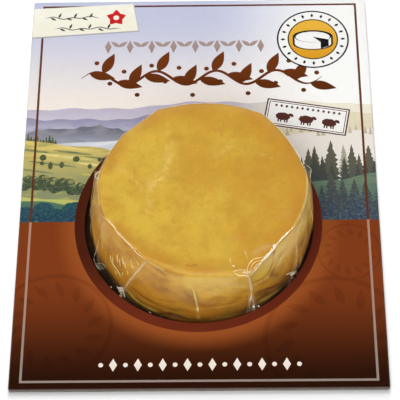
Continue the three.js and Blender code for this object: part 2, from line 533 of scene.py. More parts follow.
@dataclass(frozen=True)
class Ink:
    """A printed field of colour, which may change up the sheet, across it and round the window.

    Colours are levels of red, green and blue on a screen.
    low and high are its colours at low_y and high_y. side is the colour that it turns to from side_from to
    side_to across. glow is its colour round the window, from glow_from out to glow_reach.
    patch is a second colour in soft patches of patch_size. The bare board colour shows where the folds are
    worn and also paints the sheen where light catches the folds.
    """

    low: Levels
    high: Levels
    low_y: float = -110.0
    high_y: float = 110.0
    side: Levels | None = None
    side_from: float = -85.0
    side_to: float = 85.0
    glow: Levels | None = None
    glow_from: float = 57.0
    glow_reach: float = 70.0
    patch: Levels | None = None
    patch_size: float = 4.0
    patch_stretch: float = 2.5
    bare_board_and_sheen: Levels = (168, 160, 150)
    roughness: float = 0.42

    def material(self, name: str, effects: Effects) -> Material:
        """Makes the ink's material, with the board's grain showing through it.

        Args:
            name: The ink's name.
            effects: The node groups that materials share.

        Returns:
            The material.
        """
        made, kit, output = new_material("ink_" + name)
        place = kit.group(effects.place).outputs
        colour = kit.mix(kit.ramp(place["Y"], self.low_y, self.high_y), screen(*self.low), screen(*self.high))
        if self.patch:
            spot = kit.spot()
            flat = kit.stretched(spot, (1 / self.patch_stretch, 1.0, 1.0), 8.0)
            patches = kit.ramp(kit.noise(flat, self.patch_size, 5.0, 0.62), 0.42, 0.64)
            colour = kit.mix(patches, colour, screen(*self.patch))
        if self.side:
            colour = kit.mix(kit.ramp(place["X"], self.side_from, self.side_to), colour, screen(*self.side))
        if self.glow:
            near = kit.ramp(place["From Window"], self.glow_from, self.glow_reach, 1.0, 0.0)
            colour = kit.mix(near, colour, screen(*self.glow))
        grain = kit.group(effects.grain, Size=0.5, Contrast=0.06).outputs
        # The pale board shows at the folds, partly as wear and partly as painted sheen where light catches
        # them.
        wear_and_sheen = kit.carried("wear_and_sheen")
        scuffs = kit.ramp(grain["Shade"], 0.97, 1.03, 0.75, 1.0)
        colour = kit.mix(kit.times(wear_and_sheen, scuffs), colour, screen(*self.bare_board_and_sheen))
        colour = kit.grained(colour, grain["Shade"])
        bump = kit.bump(grain["Height"], 0.12, 0.02)
        kit.coat(output, Base_Color=colour, Roughness=self.roughness, Specular_IOR_Level=0.05, Normal=bump)
        return made


class Inks(Enum):
    """Every ink of the sleeve. No two have the same numbers, as those would count as one."""

    SKY = Ink((246, 236, 226), (200, 204, 228), 36, 104, side=(255, 255, 252), side_from=0, side_to=72)
    FAR_HILLS = Ink((216, 208, 216), (182, 174, 198), 30, 48, side=(242, 236, 216), side_from=6, side_to=46,
                    patch=(196, 190, 208), patch_size=6)
    MIDDLE_HILLS = Ink((206, 204, 218), (134, 130, 162), 24, 41, side=(230, 221, 190), side_from=6,
                       side_to=46, patch=(156, 152, 180), patch_size=5)
    NEAR_HILLS = Ink((190, 198, 216), (112, 112, 124), 15, 32, side=(227, 217, 190), side_from=10,
                     side_to=46, patch=(146, 144, 152), patch_size=4)
    MIST = Ink((214, 220, 228), (196, 204, 218), 6, 22, side=(238, 231, 222), side_from=-10, side_to=50,
               patch=(228, 231, 236), patch_size=9, patch_stretch=5)
    MEADOW = Ink((136, 144, 106), (220, 197, 114), -6, 22,
                 patch=(178, 168, 98), patch_size=3, patch_stretch=4)
    SUNNY_GRASS = Ink((176, 188, 100), (228, 210, 134), -18, 14,
                      patch=(196, 190, 110), patch_size=3, patch_stretch=4)
    SHADY_GRASS = Ink((62, 112, 96), (140, 142, 92), -20, 10,
                      patch=(96, 124, 92), patch_size=2.4, patch_stretch=4)
    BUSHES = Ink((44, 72, 66), (76, 86, 58), -14, 10, patch=(98, 106, 72), patch_size=1.2, patch_stretch=1)
    LIT_LEAVES = Ink((120, 134, 96), (168, 164, 104), -14, 10,
                     patch=(96, 106, 74), patch_size=1.0, patch_stretch=1)
    CROWNS = Ink((34, 64, 84), (50, 92, 92), -22, -4, patch=(58, 94, 100), patch_size=1.3, patch_stretch=1)
    RIGHT_SLOPE = Ink((72, 100, 102), (116, 138, 108), -20, 6, patch=(92, 116, 104), patch_size=3)
    DARK_FIRS = Ink((64, 74, 84), (106, 98, 76), -14, 18,
                    patch=(90, 96, 86), patch_size=1.2, patch_stretch=1)
    SHADED_FIRS = Ink((58, 68, 78), (84, 82, 66), -14, 18,
                      patch=(76, 84, 80), patch_size=1.2, patch_stretch=1)
    DEEP_FIRS = Ink((58, 68, 86), (76, 86, 88), -20, 2,
                    patch=(84, 100, 108), patch_size=1.2, patch_stretch=1)
    PALE_FIRS = Ink((158, 156, 144), (204, 194, 164), 8, 34,
                    patch=(184, 178, 152), patch_size=1.4, patch_stretch=1)
    BACK = Ink((88, 38, 14), (112, 52, 20), -108, 108)
    PANEL = Ink((43, 16, 3), (128, 59, 23), -108, -48, glow=(156, 82, 35))
    PANEL_SHADE = Ink((40, 15, 3), (118, 53, 20), -108, -48, glow=(146, 75, 31))
    RING = Ink((108, 44, 24), (78, 32, 15), -74, -38, side=(102, 39, 20), side_from=-20, side_to=50)
    BROWN_LINE = Ink((96, 52, 32), (104, 58, 38), -22, 108)
    PALE_LINE = Ink((150, 135, 125), (178, 136, 114), -106, -24)
    GARLAND = Ink((92, 42, 12), (112, 54, 18), 48, 73)
    FINE_ROW = Ink((158, 134, 124), (176, 154, 146), 74, 87)
    PAPER = Ink((246, 242, 220), (253, 251, 236), 86, 108, patch=(248, 244, 226), patch_size=6)
    PAPER_SHADOW = Ink((176, 172, 182), (188, 186, 196), 86, 108)
    TWIG = Ink((60, 52, 50), (72, 62, 58), 86, 108)
    RED = Ink((196, 30, 34), (214, 40, 42), 88, 106)
    STAMP_PAPER = Ink((246, 242, 238), (250, 248, 244), 24, 48)
    STAMP = Ink((84, 46, 38), (92, 52, 44), 24, 48)
    BADGE_DARK = Ink((24, 22, 24), (34, 32, 34), 64, 104)
    BADGE_WHITE = Ink((248, 247, 244), (253, 252, 249), 64, 104)
    BADGE_GOLD = Ink((226, 160, 40), (240, 186, 66), 70, 98)
    FOOTER = Ink((232, 220, 208), (240, 230, 220), -103, -93)


@dataclass(frozen=True)
class Field:
    """A closed outline of the print with its ink. No ink is a hole, and over keeps it to one ink below."""

    outline: Outline
    ink: Inks | None
    over: Inks | None = None


def circle(x: float, y: float, radius: float, sides: int = 48) -> Outline:
    """Gives the points of a circle."""
    turns = (math.tau * side / sides for side in range(sides))
    return [(x + radius * math.cos(turn), y + radius * math.sin(turn)) for turn in turns]


def on_circle(x: float, y: float, radius: float, turn: float) -> Point:
    """Gives the point of a circle at a turn in degrees."""
    return (x + radius * math.cos(math.radians(turn)), y + radius * math.sin(math.radians(turn)))


def around(x: float, y: float, radius: float, count: int) -> list[tuple[float, Point]]:
    """Gives evenly spaced turns in degrees, each with its point on a circle."""
    turns = [FULL_TURN * index / count for index in range(count)]
    return [(turn, on_circle(x, y, radius, turn)) for turn in turns]


def spaced(start: float, end: float, count: int) -> list[float]:
    """Gives evenly spaced numbers from start to end."""
    return [start + (end - start) * index / (count - 1) for index in range(count)]


def rectangle(left: float, low: float, right: float, high: float) -> Outline:
    """Gives the corners of an upright rectangle."""
    return [(left, low), (right, low), (right, high), (left, high)]


def moved(outline: Outline, x: float, y: float, turn: float = 0.0, scale: float = 1.0) -> Outline:
    """Scales and turns an outline about the origin, then moves it."""
    cosine, sine = math.cos(math.radians(turn)) * scale, math.sin(math.radians(turn)) * scale
    return [(x + a * cosine - b * sine, y + a * sine + b * cosine) for a, b in outline]


def frame_lines(left: float, low: float, right: float, high: float, width: float) -> list[Outline]:
    """Gives the left, right, low and high bar of a border, with its outer edges at the numbers given."""
    return [
        rectangle(left, low, left + width, high),
        rectangle(right - width, low, right, high),
        rectangle(left + width, low, right - width, low + width),
        rectangle(left + width, high - width, right - width, high),
    ]


def leaf(length: float, width: float, sides: int = 9) -> Outline:
    """Gives an almond leaf from the origin along +X, fullest before its middle.

    Args:
        length: Its length, in mm.
        width: Its greatest width.
        sides: Sides of each edge.

    Returns:
        The outline.
    """
    shares = [side / sides for side in range(sides + 1)]
    upper = [(length * share, width / 2 * math.sin(math.pi * share ** 0.8)) for share in shares]
    lower = [(x, -y) for x, y in reversed(upper[1:-1])]
    return [*upper[::-1], *lower[::-1]]


def lozenge(width: float, height: float) -> Outline:
    """Gives a lozenge round the origin."""
    return [(width / 2, 0), (0, height / 2), (-width / 2, 0), (0, -height / 2)]


def ribbon(path: Array, width: float) -> Outline:
    """Gives a band of even width along a path that tapers at its two ends.

    Args:
        path: Points along its middle.
        width: Its width, in mm.

    Returns:
        The outline.
    """
    along = np.gradient(path, axis=0)
    along /= np.linalg.norm(along, axis=1)[:, None]
    across = np.stack([-along[:, 1], along[:, 0]], 1)
    share = np.linspace(0, 1, len(path))
    half = width / 2 * np.minimum(1, 0.15 + 8 * np.minimum(share, 1 - share))[:, None]
    left, right = path + across * half, path - across * half
    return [tuple(p) for p in np.vstack([right, left[::-1]]).tolist()]


def fir(height: float, width: float, tiers: int, seed: int) -> Outline:
    """Gives a fir tree that stands on the origin, with a jagged, uneven edge of drooping branches.

    Args:
        height: Height, in mm.
        width: Width of its lowest branches.
        tiers: Number of branches on each side.
        seed: Picks the tree's own unevenness.

    Returns:
        The outline.
    """
    draw = random.Random(seed)
    sides = []
    for side in (1, -1):
        edge = []
        for tier in range(tiers):
            share = tier / tiers
            out = side * width / 2 * (1 - share) ** 0.85 * draw.uniform(0.72, 1.1)
            edge.append((out, height * (share + 0.01)))
            edge.append((out * draw.uniform(0.45, 0.7), height * (share + 0.6 / tiers)))
        sides.append(edge)
    return [*sides[0], (0, height * 1.04), *reversed(sides[1])]


def lumpy(width: float, height: float, lumps: int, seed: int) -> Outline:
    """Gives a round outline with an uneven edge, such as a bush or a fleece.

    Args:
        width: Width, in mm.
        height: Height, in mm.
        lumps: Number of lumps round it.
        seed: Picks its own unevenness.

    Returns:
        The outline.
    """
    draw = random.Random(seed)
    phase = draw.random() * math.tau
    outline = []
    sides = lumps * 5
    for side in range(sides):
        turn = math.tau * side / sides
        swell = 1 + 0.09 * abs(math.sin(turn * lumps / 2 + phase)) + 0.05 * draw.random()
        outline.append((width / 2 * swell * math.cos(turn), height / 2 * swell * math.sin(turn)))
    return outline


@dataclass(frozen=True)
class Ridge:
    """One line of hills across the picture.

    swing is how far it rises and falls, and slope its fall to the right.
    """

    ink: Inks
    height: float
    slope: float
    swing: float
    waves: tuple[float, ...]
    phase: float

    def outline(self, left: float, right: float, low: float, steps: int = 56) -> Outline:
        """Gives the field below the line of hills.

        Args:
            left: Where the field begins.
            right: Where it ends.
            low: Its lower edge.
            steps: Steps along the hills.

        Returns:
            The outline.
        """
        top = []
        for step in range(steps + 1):
            x = left + (right - left) * step / steps
            rise = sum(math.sin(x / wave + self.phase * (order + 1)) / (order + 1)
                       for order, wave in enumerate(self.waves))
            top.append((x, self.height - self.slope * (x - left) / (right - left) + self.swing * rise))
        return [(left, low), (right, low), *reversed(top)]


@dataclass
class Landscape:
    """Misty hills behind the wheel, with a meadow and trees at the left and firs at the right.

    fir_rows has the ink of each row of firs, their number, the height of their feet, their size and spread.
    """

    left: float
    right: float
    low: float
    high: float
    seed: int = 11
    ridges: tuple[Ridge, ...] = (
        Ridge(Inks.FAR_HILLS, 43, -3, 1.3, (23.0, 9.0, 3.1), 1.0),
        Ridge(Inks.MIDDLE_HILLS, 37, -1, 1.4, (15.0, 6.5, 2.3), 2.1),
        Ridge(Inks.NEAR_HILLS, 30, -2, 1.5, (11.0, 4.2, 1.3, 0.7), 0.4),
        Ridge(Inks.MIST, 22, -6, 0.9, (16.0, 6.0), 2.8),
    )
    fir_rows: tuple[tuple[Inks, int, float, float, float], ...] = (
        (Inks.PALE_FIRS, 15, 27.0, 5.0, 0.6), (Inks.PALE_FIRS, 9, 2.0, 15.0, 0.5),
        (Inks.DARK_FIRS, 11, -8.0, 27.0, 0.56), (Inks.SHADED_FIRS, 9, -14.0, 28.0, 0.5),
        (Inks.DARK_FIRS, 9, -20.0, 22.0, 0.6), (Inks.DEEP_FIRS, 15, -27.0, 19.0, 0.6),
    )
    rows_behind_bank: int = 4

    def fields(self) -> list[Field]:
        """Gives the picture's fields from back to front.

        Returns:
            The fields, from back to front.
        """
        made = [Field(rectangle(self.left, self.low, self.right, self.high), Inks.SKY)]
        for ridge in self.ridges:
            made.append(Field(ridge.outline(self.left, self.right, self.low), ridge.ink))
        return made + self.left_side() + self.right_side()

    def left_side(self) -> list[Field]:
        """Gives low firs, the meadow with strips, bushes and a hedge, two banks and crowns in front.

        Returns:
            The fields, from back to front.
        """
        draw = random.Random(self.seed)
        made = []
        for index in range(11):
            tree = fir(draw.uniform(2.5, 5.5), draw.uniform(2.0, 3.4), 5, index)
            made.append(Field(moved(tree, self.left + 1.5 * index, 22.6 - 0.12 * index), Inks.BUSHES))
        slope = Ridge(Inks.MEADOW, 25, 12, 0.8, (9.0, 4.0), 0.7)
        made.append(Field(slope.outline(self.left, self.left + 66, self.low, 30), Inks.MEADOW))
        for index in range(14):
            spot = (self.left + draw.uniform(2, 44), 20 - 1.8 * index + draw.uniform(-1, 1))
            strip = lumpy(draw.uniform(10, 26), draw.uniform(0.6, 1.6), 6, self.seed + index)
            ink = Inks.SHADY_GRASS if index % 3 else Inks.SUNNY_GRASS
            made.append(Field(moved(strip, *spot, -9), ink, Inks.MEADOW))
        for index in range(8):
            tree = lumpy(draw.uniform(1.6, 3.2), draw.uniform(2.0, 4.2), 5, index)
            spot = (self.left + draw.uniform(6, 40), 9 + draw.uniform(-3, 5))
            made.append(Field(moved(tree, *spot), Inks.BUSHES))
        made += self.hedge(46, 1.5, -7.5, 5.4, draw)
        for bank in (Ridge(Inks.SUNNY_GRASS, -8.5, 5, 0.5, (9.0, 4.0), 2.2),
                     Ridge(Inks.SHADY_GRASS, -11.0, 3, 0.6, (7.0, 3.0), 0.3)):
            made.append(Field(bank.outline(self.left, self.left + 44, self.low, 24), bank.ink))
        crowns = ((2, -19, 13, 9), (11, -15.5, 9, 7), (16, -20, 15, 9), (26, -16.5, 12, 9), (30, -21, 14, 9))
        for x, y, width, height in crowns:
            crown = lumpy(width, height, 9, self.seed + x)
            made.append(Field(moved(crown, self.left + x, y), Inks.CROWNS))
        return made

    def hedge(self, count: int, start: float, end: float, size: float, draw: random.Random) -> list[Field]:
        """Gives a hedge of uneven bushes with lit tops, from one height at the left edge to another.

        Args:
            count: Number of bushes.
            start: Height at the left edge.
            end: Height at the other end.
            size: Size of a bush, in mm.
            draw: The random draws of the left side.

        Returns:
            The fields, from back to front.
        """
        made = []
        for index in range(count):
            share = index / (count - 1)
            x = self.left + 40 * share + draw.uniform(-2, 2)
            y = start + (end - start) * share + draw.uniform(-2.4, 1.8)
            across = size * draw.uniform(0.5, 1.1)
            made.append(Field(moved(lumpy(across, across * 1.15, 5, index), x, y), Inks.BUSHES))
            top = lumpy(across * 0.5, across * 0.42, 4, index + count)
            made.append(Field(moved(top, x + across * 0.14, y + across * 0.3), Inks.LIT_LEAVES, Inks.BUSHES))
        return made

    def right_side(self) -> list[Field]:
        """Gives the firs at the right, pale in the mist and then dark, with a green bank among them.

        Returns:
            The fields, from back to front.
        """
        draw = random.Random(self.seed + 1)
        made = []
        for row, (ink, count, foot, size, spread) in enumerate(self.fir_rows):
            if row == self.rows_behind_bank:
                bank = Ridge(Inks.RIGHT_SLOPE, -5, -9, 0.8, (8.0, 3.4), 1.9)
                made.append(Field(bank.outline(self.right - 46, self.right, self.low, 20), Inks.RIGHT_SLOPE))
            for index in range(count):
                x = self.right - 42 + 43 * (index + draw.uniform(-0.4, 0.4)) / (count - 1)
                height = size * draw.uniform(0.66, 1.1)
                tree = fir(height, height * spread * draw.uniform(0.8, 1.15), 11, index + row * 20)
                made.append(Field(moved(tree, x, foot + draw.uniform(-2, 1.5)), ink))
        return made


@dataclass
class Panel:
    """The dark lower half of the print, with faint large leaf rings, the window's ring and the border."""

    size: SleeveSize
    top: float = -22.7
    ring_radius: float = 58.4
    ring_shift: Point = (-0.35, -0.3)
    leaf_rings: tuple[tuple[float, float, float], ...] = ((-66, -78, 27), (62, -86, 33), (70, -40, 15))
    ring_leaves: int = 14
    border_x: float = 80.2
    border_top: float = 107.2
    border_low: float = -106.6
    border_width: float = 1.1

    def fields(self) -> list[Field]:
        """Gives the panel's fields from back to front.

        Returns:
            The fields, from back to front.
        """
        left, right = -self.size.width / 2, self.size.width / 2
        low = -self.size.length / 2
        made = [Field(rectangle(left, low, right, self.top), Inks.PANEL)]
        for x, y, radius in self.leaf_rings:
            made += self.leaf_ring(x, y, radius)
        x, y = self.ring_shift[0], self.size.window_y + self.ring_shift[1]
        made.append(Field(circle(x, y, self.ring_radius, 144), Inks.RING))
        return made

    def leaf_ring(self, x: float, y: float, radius: float) -> list[Field]:
        """Gives one faint ring with a wreath of leaves inside it.

        Args:
            x: Its middle across the sheet.
            y: Its middle up the sheet.
            radius: Its outer radius.

        Returns:
            The fields, from back to front.
        """
        made = [
            Field(circle(x, y, radius, 72), Inks.PANEL_SHADE, Inks.PANEL),
            Field(circle(x, y, radius * 0.93, 72), Inks.PANEL, Inks.PANEL_SHADE),
        ]
        for turn, spot in around(x, y, radius * 0.56, self.ring_leaves):
            shape = moved(leaf(radius * 0.34, radius * 0.13), *spot, turn + 34)
            made.append(Field(shape, Inks.PANEL_SHADE, Inks.PANEL))
        return made

    def border(self) -> list[Field]:
        """Gives the thin border: brown over the picture and pale over the panel.

        Returns:
            The fields, from back to front.
        """
        x, width = self.border_x, self.border_width
        left, right, _, high = frame_lines(-x, self.top, x, self.border_top, width)
        brown = [Field(bar, Inks.BROWN_LINE) for bar in (left, right, high)]
        left, right, low, _ = frame_lines(-x, self.border_low, x, self.top, width)
        return brown + [Field(bar, Inks.PALE_LINE) for bar in (left, right, low)]


@dataclass
class Garland:
    """A leafy garland across the sky, with a finer row of ornaments above it."""

    left: float = -59.0
    right: float = 61.0
    middle_y: float = 61.0
    wave: float = 4.2
    wave_length: float = 30.0
    leaves: int = 17
    leaf_size: Point = (13.5, 5.4)
    stem_width: float = 1.5
    berry_radius: float = 1.25
    row_left: float = -46.0
    row_right: float = 31.0
    row_y: float = 80.6
    row_lozenges: int = 8

    def height(self, x: float) -> float:
        """Gives the stem's height at a place across the sheet."""
        return self.middle_y + self.wave * math.sin(math.tau * (x - self.left) / self.wave_length)

    def fields(self) -> list[Field]:
        """Gives the stem, its leaves and berries, and the row above.

        Returns:
            The fields, from back to front.
        """
        places = np.linspace(self.left, self.right, 90)
        stem = np.array([(x, self.height(x)) for x in places])
        made = [Field(ribbon(stem, self.stem_width), Inks.GARLAND)]
        for index, x in enumerate(spaced(self.left + 4, self.right - 6, self.leaves)):
            side = 1 if index % 2 else -1
            spot = (x, self.height(x))
            made.append(Field(moved(leaf(*self.leaf_size), *spot, 26 + side * 40), Inks.GARLAND))
            berry = (x + 3.6, self.height(x) - side * 6.4)
            made.append(Field(circle(*berry, self.berry_radius, 16), Inks.GARLAND))
        return made + self.upper_row()

    def upper_row(self) -> list[Field]:
        """Gives the finer row of lozenges between small leaves.

        Returns:
            The fields, from back to front.
        """
        made = []
        for index, x in enumerate(spaced(self.row_left, self.row_right, self.row_lozenges), 1):
            made.append(Field(moved(lozenge(3.4, 8.4), x, self.row_y), Inks.FINE_ROW))
            if index < self.row_lozenges:
                for side in (-1, 1):
                    spot = (x + 5.5 - side * 0.2, self.row_y)
                    made.append(Field(moved(leaf(5.6, 2.2), *spot, 90 - side * 52), Inks.FINE_ROW))
        return made


@dataclass
class Badge:
    """A round badge with a cut cheese on a gold ground."""

    x: float = 57.4
    y: float = 84.4
    radius: float = 18.2
    lozenges: int = 20

    def fields(self) -> list[Field]:
        """Gives the badge's rings, its lozenges and the cheese.

        Returns:
            The fields, from back to front.
        """
        rings = ((1.0, Inks.BADGE_DARK), (0.955, Inks.BADGE_WHITE),
                 (0.7, Inks.BADGE_DARK), (0.665, Inks.BADGE_GOLD))
        made = [Field(circle(self.x, self.y, self.radius * share, 64), ink) for share, ink in rings]
        for turn, spot in around(self.x, self.y, self.radius * 0.83, self.lozenges):
            made.append(Field(moved(lozenge(2.6, 1.5), *spot, turn), Inks.BADGE_DARK))
        return made + self.cheese()

    def cheese(self) -> list[Field]:
        """Gives a flat round cheese with a wedge out of it.

        Returns:
            The fields, from back to front.
        """
        across, deep, tall = 9.2, 3.6, 4.2
        turns = [math.radians(turn) for turn in range(0, 360, 12)]
        lid = [(across * math.cos(turn), deep * math.sin(turn) + tall / 2) for turn in turns]
        front = [math.radians(turn) for turn in range(180, 361, 12)]
        side = [(across * math.cos(turn), deep * math.sin(turn) - tall / 2) for turn in front]
        body = [*side, (across, tall / 2), (-across, tall / 2)]
        grow = 1.1
        left, right = (across * 0.42, -deep * 0.92 + tall / 2), (across * 0.86, -deep * 0.5 + tall / 2)
        wedge = [(0, tall / 2), left, right]
        notch = [left, (left[0], left[1] - tall), (right[0], right[1] - tall), right]
        shapes = ((body, Inks.BADGE_DARK, grow), (lid, Inks.BADGE_DARK, grow), (body, Inks.BADGE_WHITE, 1.0),
                  (lid, Inks.BADGE_DARK, 1.0), (lid, Inks.BADGE_WHITE, 0.94), (notch, Inks.BADGE_DARK, 1.0),
                  (wedge, Inks.BADGE_DARK, 1.0))
        return [Field(moved(shape, self.x, self.y - 0.6, 0, scale), ink) for shape, ink, scale in shapes]


@dataclass
class Stamp:
    """A tilted stamp with a double frame round three sheep."""

    x: float = 52.6
    y: float = 36.5
    width: float = 41.0
    height: float = 16.0
    turn: float = -10.4
    sheep_reach: float = 11.4
    sheep_y: float = -1.6
    beads: int = 13
    bead_reach: float = 15.6
    bead_y: float = 4.6

    def fields(self) -> list[Field]:
        """Gives the stamp's paper, frames, sheep and beads.

        Returns:
            The fields, from back to front.
        """
        half_w, half_h = self.width / 2, self.height / 2
        shapes = [(rectangle(-half_w, -half_h, half_w, half_h), Inks.STAMP_PAPER)]
        for inset, width in ((0.0, 0.7), (1.3, 0.4)):
            bars = frame_lines(-half_w + inset, -half_h + inset, half_w - inset, half_h - inset, width)
            shapes += [(bar, Inks.STAMP) for bar in bars]
        for index, x in enumerate(spaced(-self.sheep_reach, self.sheep_reach, 3)):
            shapes += [(moved(part, x, self.sheep_y), Inks.STAMP) for part in self.sheep(index)]
        for x in spaced(-self.bead_reach, self.bead_reach, self.beads):
            shapes.append((moved(lozenge(1.5, 1.9), x, self.bead_y), Inks.STAMP))
        return [Field(moved(shape, self.x, self.y, self.turn), ink) for shape, ink in shapes]

    @staticmethod
    def sheep(seed: int) -> list[Outline]:
        """Gives one plain sheep, seen from the side.

        Args:
            seed: Picks the fleece's own unevenness.

        Returns:
            The outlines of its parts, round the origin.
        """
        legs = [rectangle(x, -3.4, x + 0.7, -0.8) for x in (-2.3, -1.1, 0.9, 2.0)]
        head = moved(lumpy(2.5, 1.6, 3, 7), 3.9, 1.3, -28)
        return [lumpy(6.6, 4.2, 8, seed), head, *legs]


@dataclass
class Note:
    """A slip of cream paper at the upper left corner, with a red flower and two thin twigs."""

    corners: tuple[Point, ...] = ((-85.0, 105.5), (-34.0, 108.4), (-31.0, 91.0), (-85.0, 87.2))
    shadow: Point = (0.5, -0.8)
    flower: Point = (-42.5, 99.4)
    petals: int = 5
    twigs: tuple[tuple[float, float, float], ...] = ((-79.0, 99.6, 28.0), (-74.0, 92.6, 34.0))

    def fields(self) -> list[Field]:
        """Gives the paper's shadow, the paper, the flower and the twigs.

        Returns:
            The fields, from back to front.
        """
        paper = list(reversed(self.corners))
        shadow = [(x + self.shadow[0], y + self.shadow[1]) for x, y in paper]
        made = [Field(shadow, Inks.PAPER_SHADOW), Field(paper, Inks.PAPER)]
        for index in range(self.petals):
            petal = moved(leaf(5.2, 4.0), *self.flower, 90 + index * FULL_TURN / self.petals)
            made.append(Field(petal, Inks.RED))
        made.append(Field(circle(*self.flower, 1.5, 16), Inks.PAPER))
        for start, high, length in self.twigs:
            places = np.linspace(start, start + length, 40)
            bends = 0.9 * np.sin((places - start) / 2.1) * np.sin((places - start) / 5)
            made.append(Field(ribbon(np.column_stack([places, high + bends]), 0.5), Inks.TWIG))
            for index in range(6):
                x = start + 3 + index * length / 7
                side = 1 if index % 2 else -1
                made.append(Field(moved(leaf(3.4, 1.1), x, high, 20 + side * 48), Inks.TWIG))
        return made


@dataclass
class Footer:
    """A row of small pale ornaments near the lower edge."""

    left: float = -44.0
    right: float = 45.0
    y: float = -98.0
    count: int = 17

    def fields(self) -> list[Field]:
        """Gives lozenges and beads by turns.

        Returns:
            The fields, from back to front.
        """
        made = []
        for index, x in enumerate(spaced(self.left, self.right, self.count)):
            shape = lozenge(3.6, 6.4) if index % 2 else circle(0, 0, 1.1, 16)
            made.append(Field(moved(shape, x, self.y), Inks.FOOTER))
        return made


@dataclass
class BackPrint:
    """The back of the sleeve: a pale border, a wreath of leaves and a cream field with plain bars."""

    border_x: float = 78.0
    border_y: float = 103.0
    wreath_y: float = 47.0
    wreath_radius: float = 26.0
    leaves: int = 20
    card: tuple[float, float, float, float] = (-62.0, -86.0, 62.0, -14.0)
    margin: float = 6.0
    row_step: float = 6.4
    seed: int = 3

    def fields(self, outline: Outline) -> list[Field]:
        """Gives the back's print, on the outline of its sheet.

        Args:
            outline: Outline of the back's sheet.

        Returns:
            The fields, from back to front.
        """
        made = [Field(outline, Inks.BACK)]
        border = frame_lines(-self.border_x, -self.border_y, self.border_x, self.border_y, 0.9)
        made += [Field(bar, Inks.FOOTER) for bar in border]
        for index in range(self.leaves):
            turn = FULL_TURN * index / self.leaves
            out = self.wreath_radius + (1.8 if index % 2 else -1.8)
            spot = on_circle(0, self.wreath_y, out, turn)
            made.append(Field(moved(leaf(9.5, 3.6), *spot, turn + (62 if index % 2 else 118)), Inks.FOOTER))
        left, low, right, high = self.card
        made.append(Field(rectangle(left, low, right, high), Inks.PAPER))
        edge = self.margin
        return made + self.bars(left + edge, low + edge, right - edge, high - edge)

    def bars(self, left: float, low: float, right: float, high: float) -> list[Field]:
        """Gives rows of thin bars of uneven lengths that fill a field.

        Args:
            left: The field's left edge.
            low: Its lower edge.
            right: Its right edge.
            high: Its upper edge.

        Returns:
            One field for each bar.
        """
        draw = random.Random(self.seed)
        made = []
        y = high
        while y > low:
            x = left
            end = right - draw.uniform(0, 26)
            while x < end:
                length = min(draw.uniform(5, 17), end - x)
                made.append(Field(rectangle(x, y - 1.5, x + length, y), Inks.TWIG))
                x += length + 2.4
            y -= self.row_step
        return made


# Carton sleeve


@dataclass(frozen=True)
class BoardFinish:
    """Plain carton board, where it isn't printed."""

    colour: Colour
    roughness: float = 0.8

    def material(self, name: str, effects: Effects) -> Material:
        """Makes board with fine fibres.

        Args:
            name: The material's name.
            effects: The node groups that materials share.

        Returns:
            The material.
        """
        made, kit, output = new_material(name)
        grain = kit.group(effects.grain, Size=0.35, Contrast=0.35).outputs
        spot = kit.spot()
        fibres = kit.noise(kit.stretched(spot, (0.16, 1.0, 1.0), 12.0), 0.5, 3.0)
        colour = kit.mix(kit.ramp(fibres, 0.35, 0.7, 0.0, 0.3), self.colour, (0.0, 0.0, 0.0, 1.0))
        colour = kit.grained(colour, grain["Shade"])
        bump = kit.bump(fibres, 0.3, 0.05)
        kit.coat(output, Base_Color=colour, Roughness=self.roughness, Specular_IOR_Level=0.2, Normal=bump)
        return made


@dataclass(frozen=True)
class CutSheet:
    """A flat sheet that is cut into triangles along every printed outline."""

    points: list[Point]
    triangles: list[tuple[int, int, int]]
    inks: list[Inks]

    @classmethod
    def cut(cls, fields: Sequence[Field]) -> "CutSheet":
        """Cuts the sheet. The first field is the whole sheet, and later ones lie over earlier ones.

        Args:
            fields: The print's fields, from back to front.

        Returns:
            The cut sheet.
        """
        corners: list[Vector] = []
        faces = []
        for part in fields:
            outline = part.outline if signed_area(part.outline) > 0 else part.outline[::-1]
            faces.append(range(len(corners), len(corners) + len(outline)))
            corners.extend(Vector(point) for point in outline)
        inside_only, near = 1, 1e-4
        found = geometry.delaunay_2d_cdt(corners, [], faces, inside_only, near, True)
        places, _, cuts, _, _, origins = found
        kept: dict[int, int] = {}
        triangles, inks = [], []
        for triangle, sources in zip(cuts, origins):
            ink = cls.top_ink(fields, sources)
            if ink is not None and 0 in sources:
                triangles.append(tuple(kept.setdefault(corner, len(kept)) for corner in triangle))
                inks.append(ink)
        return cls([tuple(places[corner]) for corner in kept], triangles, inks)

    @staticmethod
    def top_ink(fields: Sequence[Field], sources: Sequence[int]) -> Inks | None:
        """Gives the ink that shows where the fields of these numbers lie over each other.

        Args:
            fields: The print's fields, from back to front.
            sources: Numbers of the fields that lie over each other.

        Returns:
            The ink on top, or None in a hole.
        """
        ink = None
        for source in sorted(sources):
            if fields[source].over in (None, ink):
                ink = fields[source].ink
        return ink

    def edge_loops(self) -> list[list[int]]:
        """Gives the sheet's edges as closed loops of point numbers, the outer one first.

        Returns:
            The loops, the outer edge first.
        """
        sides = set()
        for a, b, c in self.triangles:
            sides.update(((a, b), (b, c), (c, a)))
        following = {a: b for a, b in sides if (b, a) not in sides}
        loops = []
        while following:
            start = next(iter(following))
            loop = [start]
            while (after := following.pop(loop[-1])) != start:
                loop.append(after)
            loops.append(loop)
        return sorted(loops, key=len_across(self.points), reverse=True)


def signed_area(outline: Outline) -> float:
    """Gives twice an outline's area, above 0 where it runs anticlockwise."""
    pairs = zip(outline, [*outline[1:], outline[0]])
    return sum(x * next_y - next_x * y for (x, y), (next_x, next_y) in pairs)


def len_across(points: Sequence[Point]) -> Callable[[list[int]], float]:
    """Gives a function that measures how far a loop of point numbers reaches across."""
    return lambda loop: max(points[index][0] for index in loop) - min(points[index][0] for index in loop)


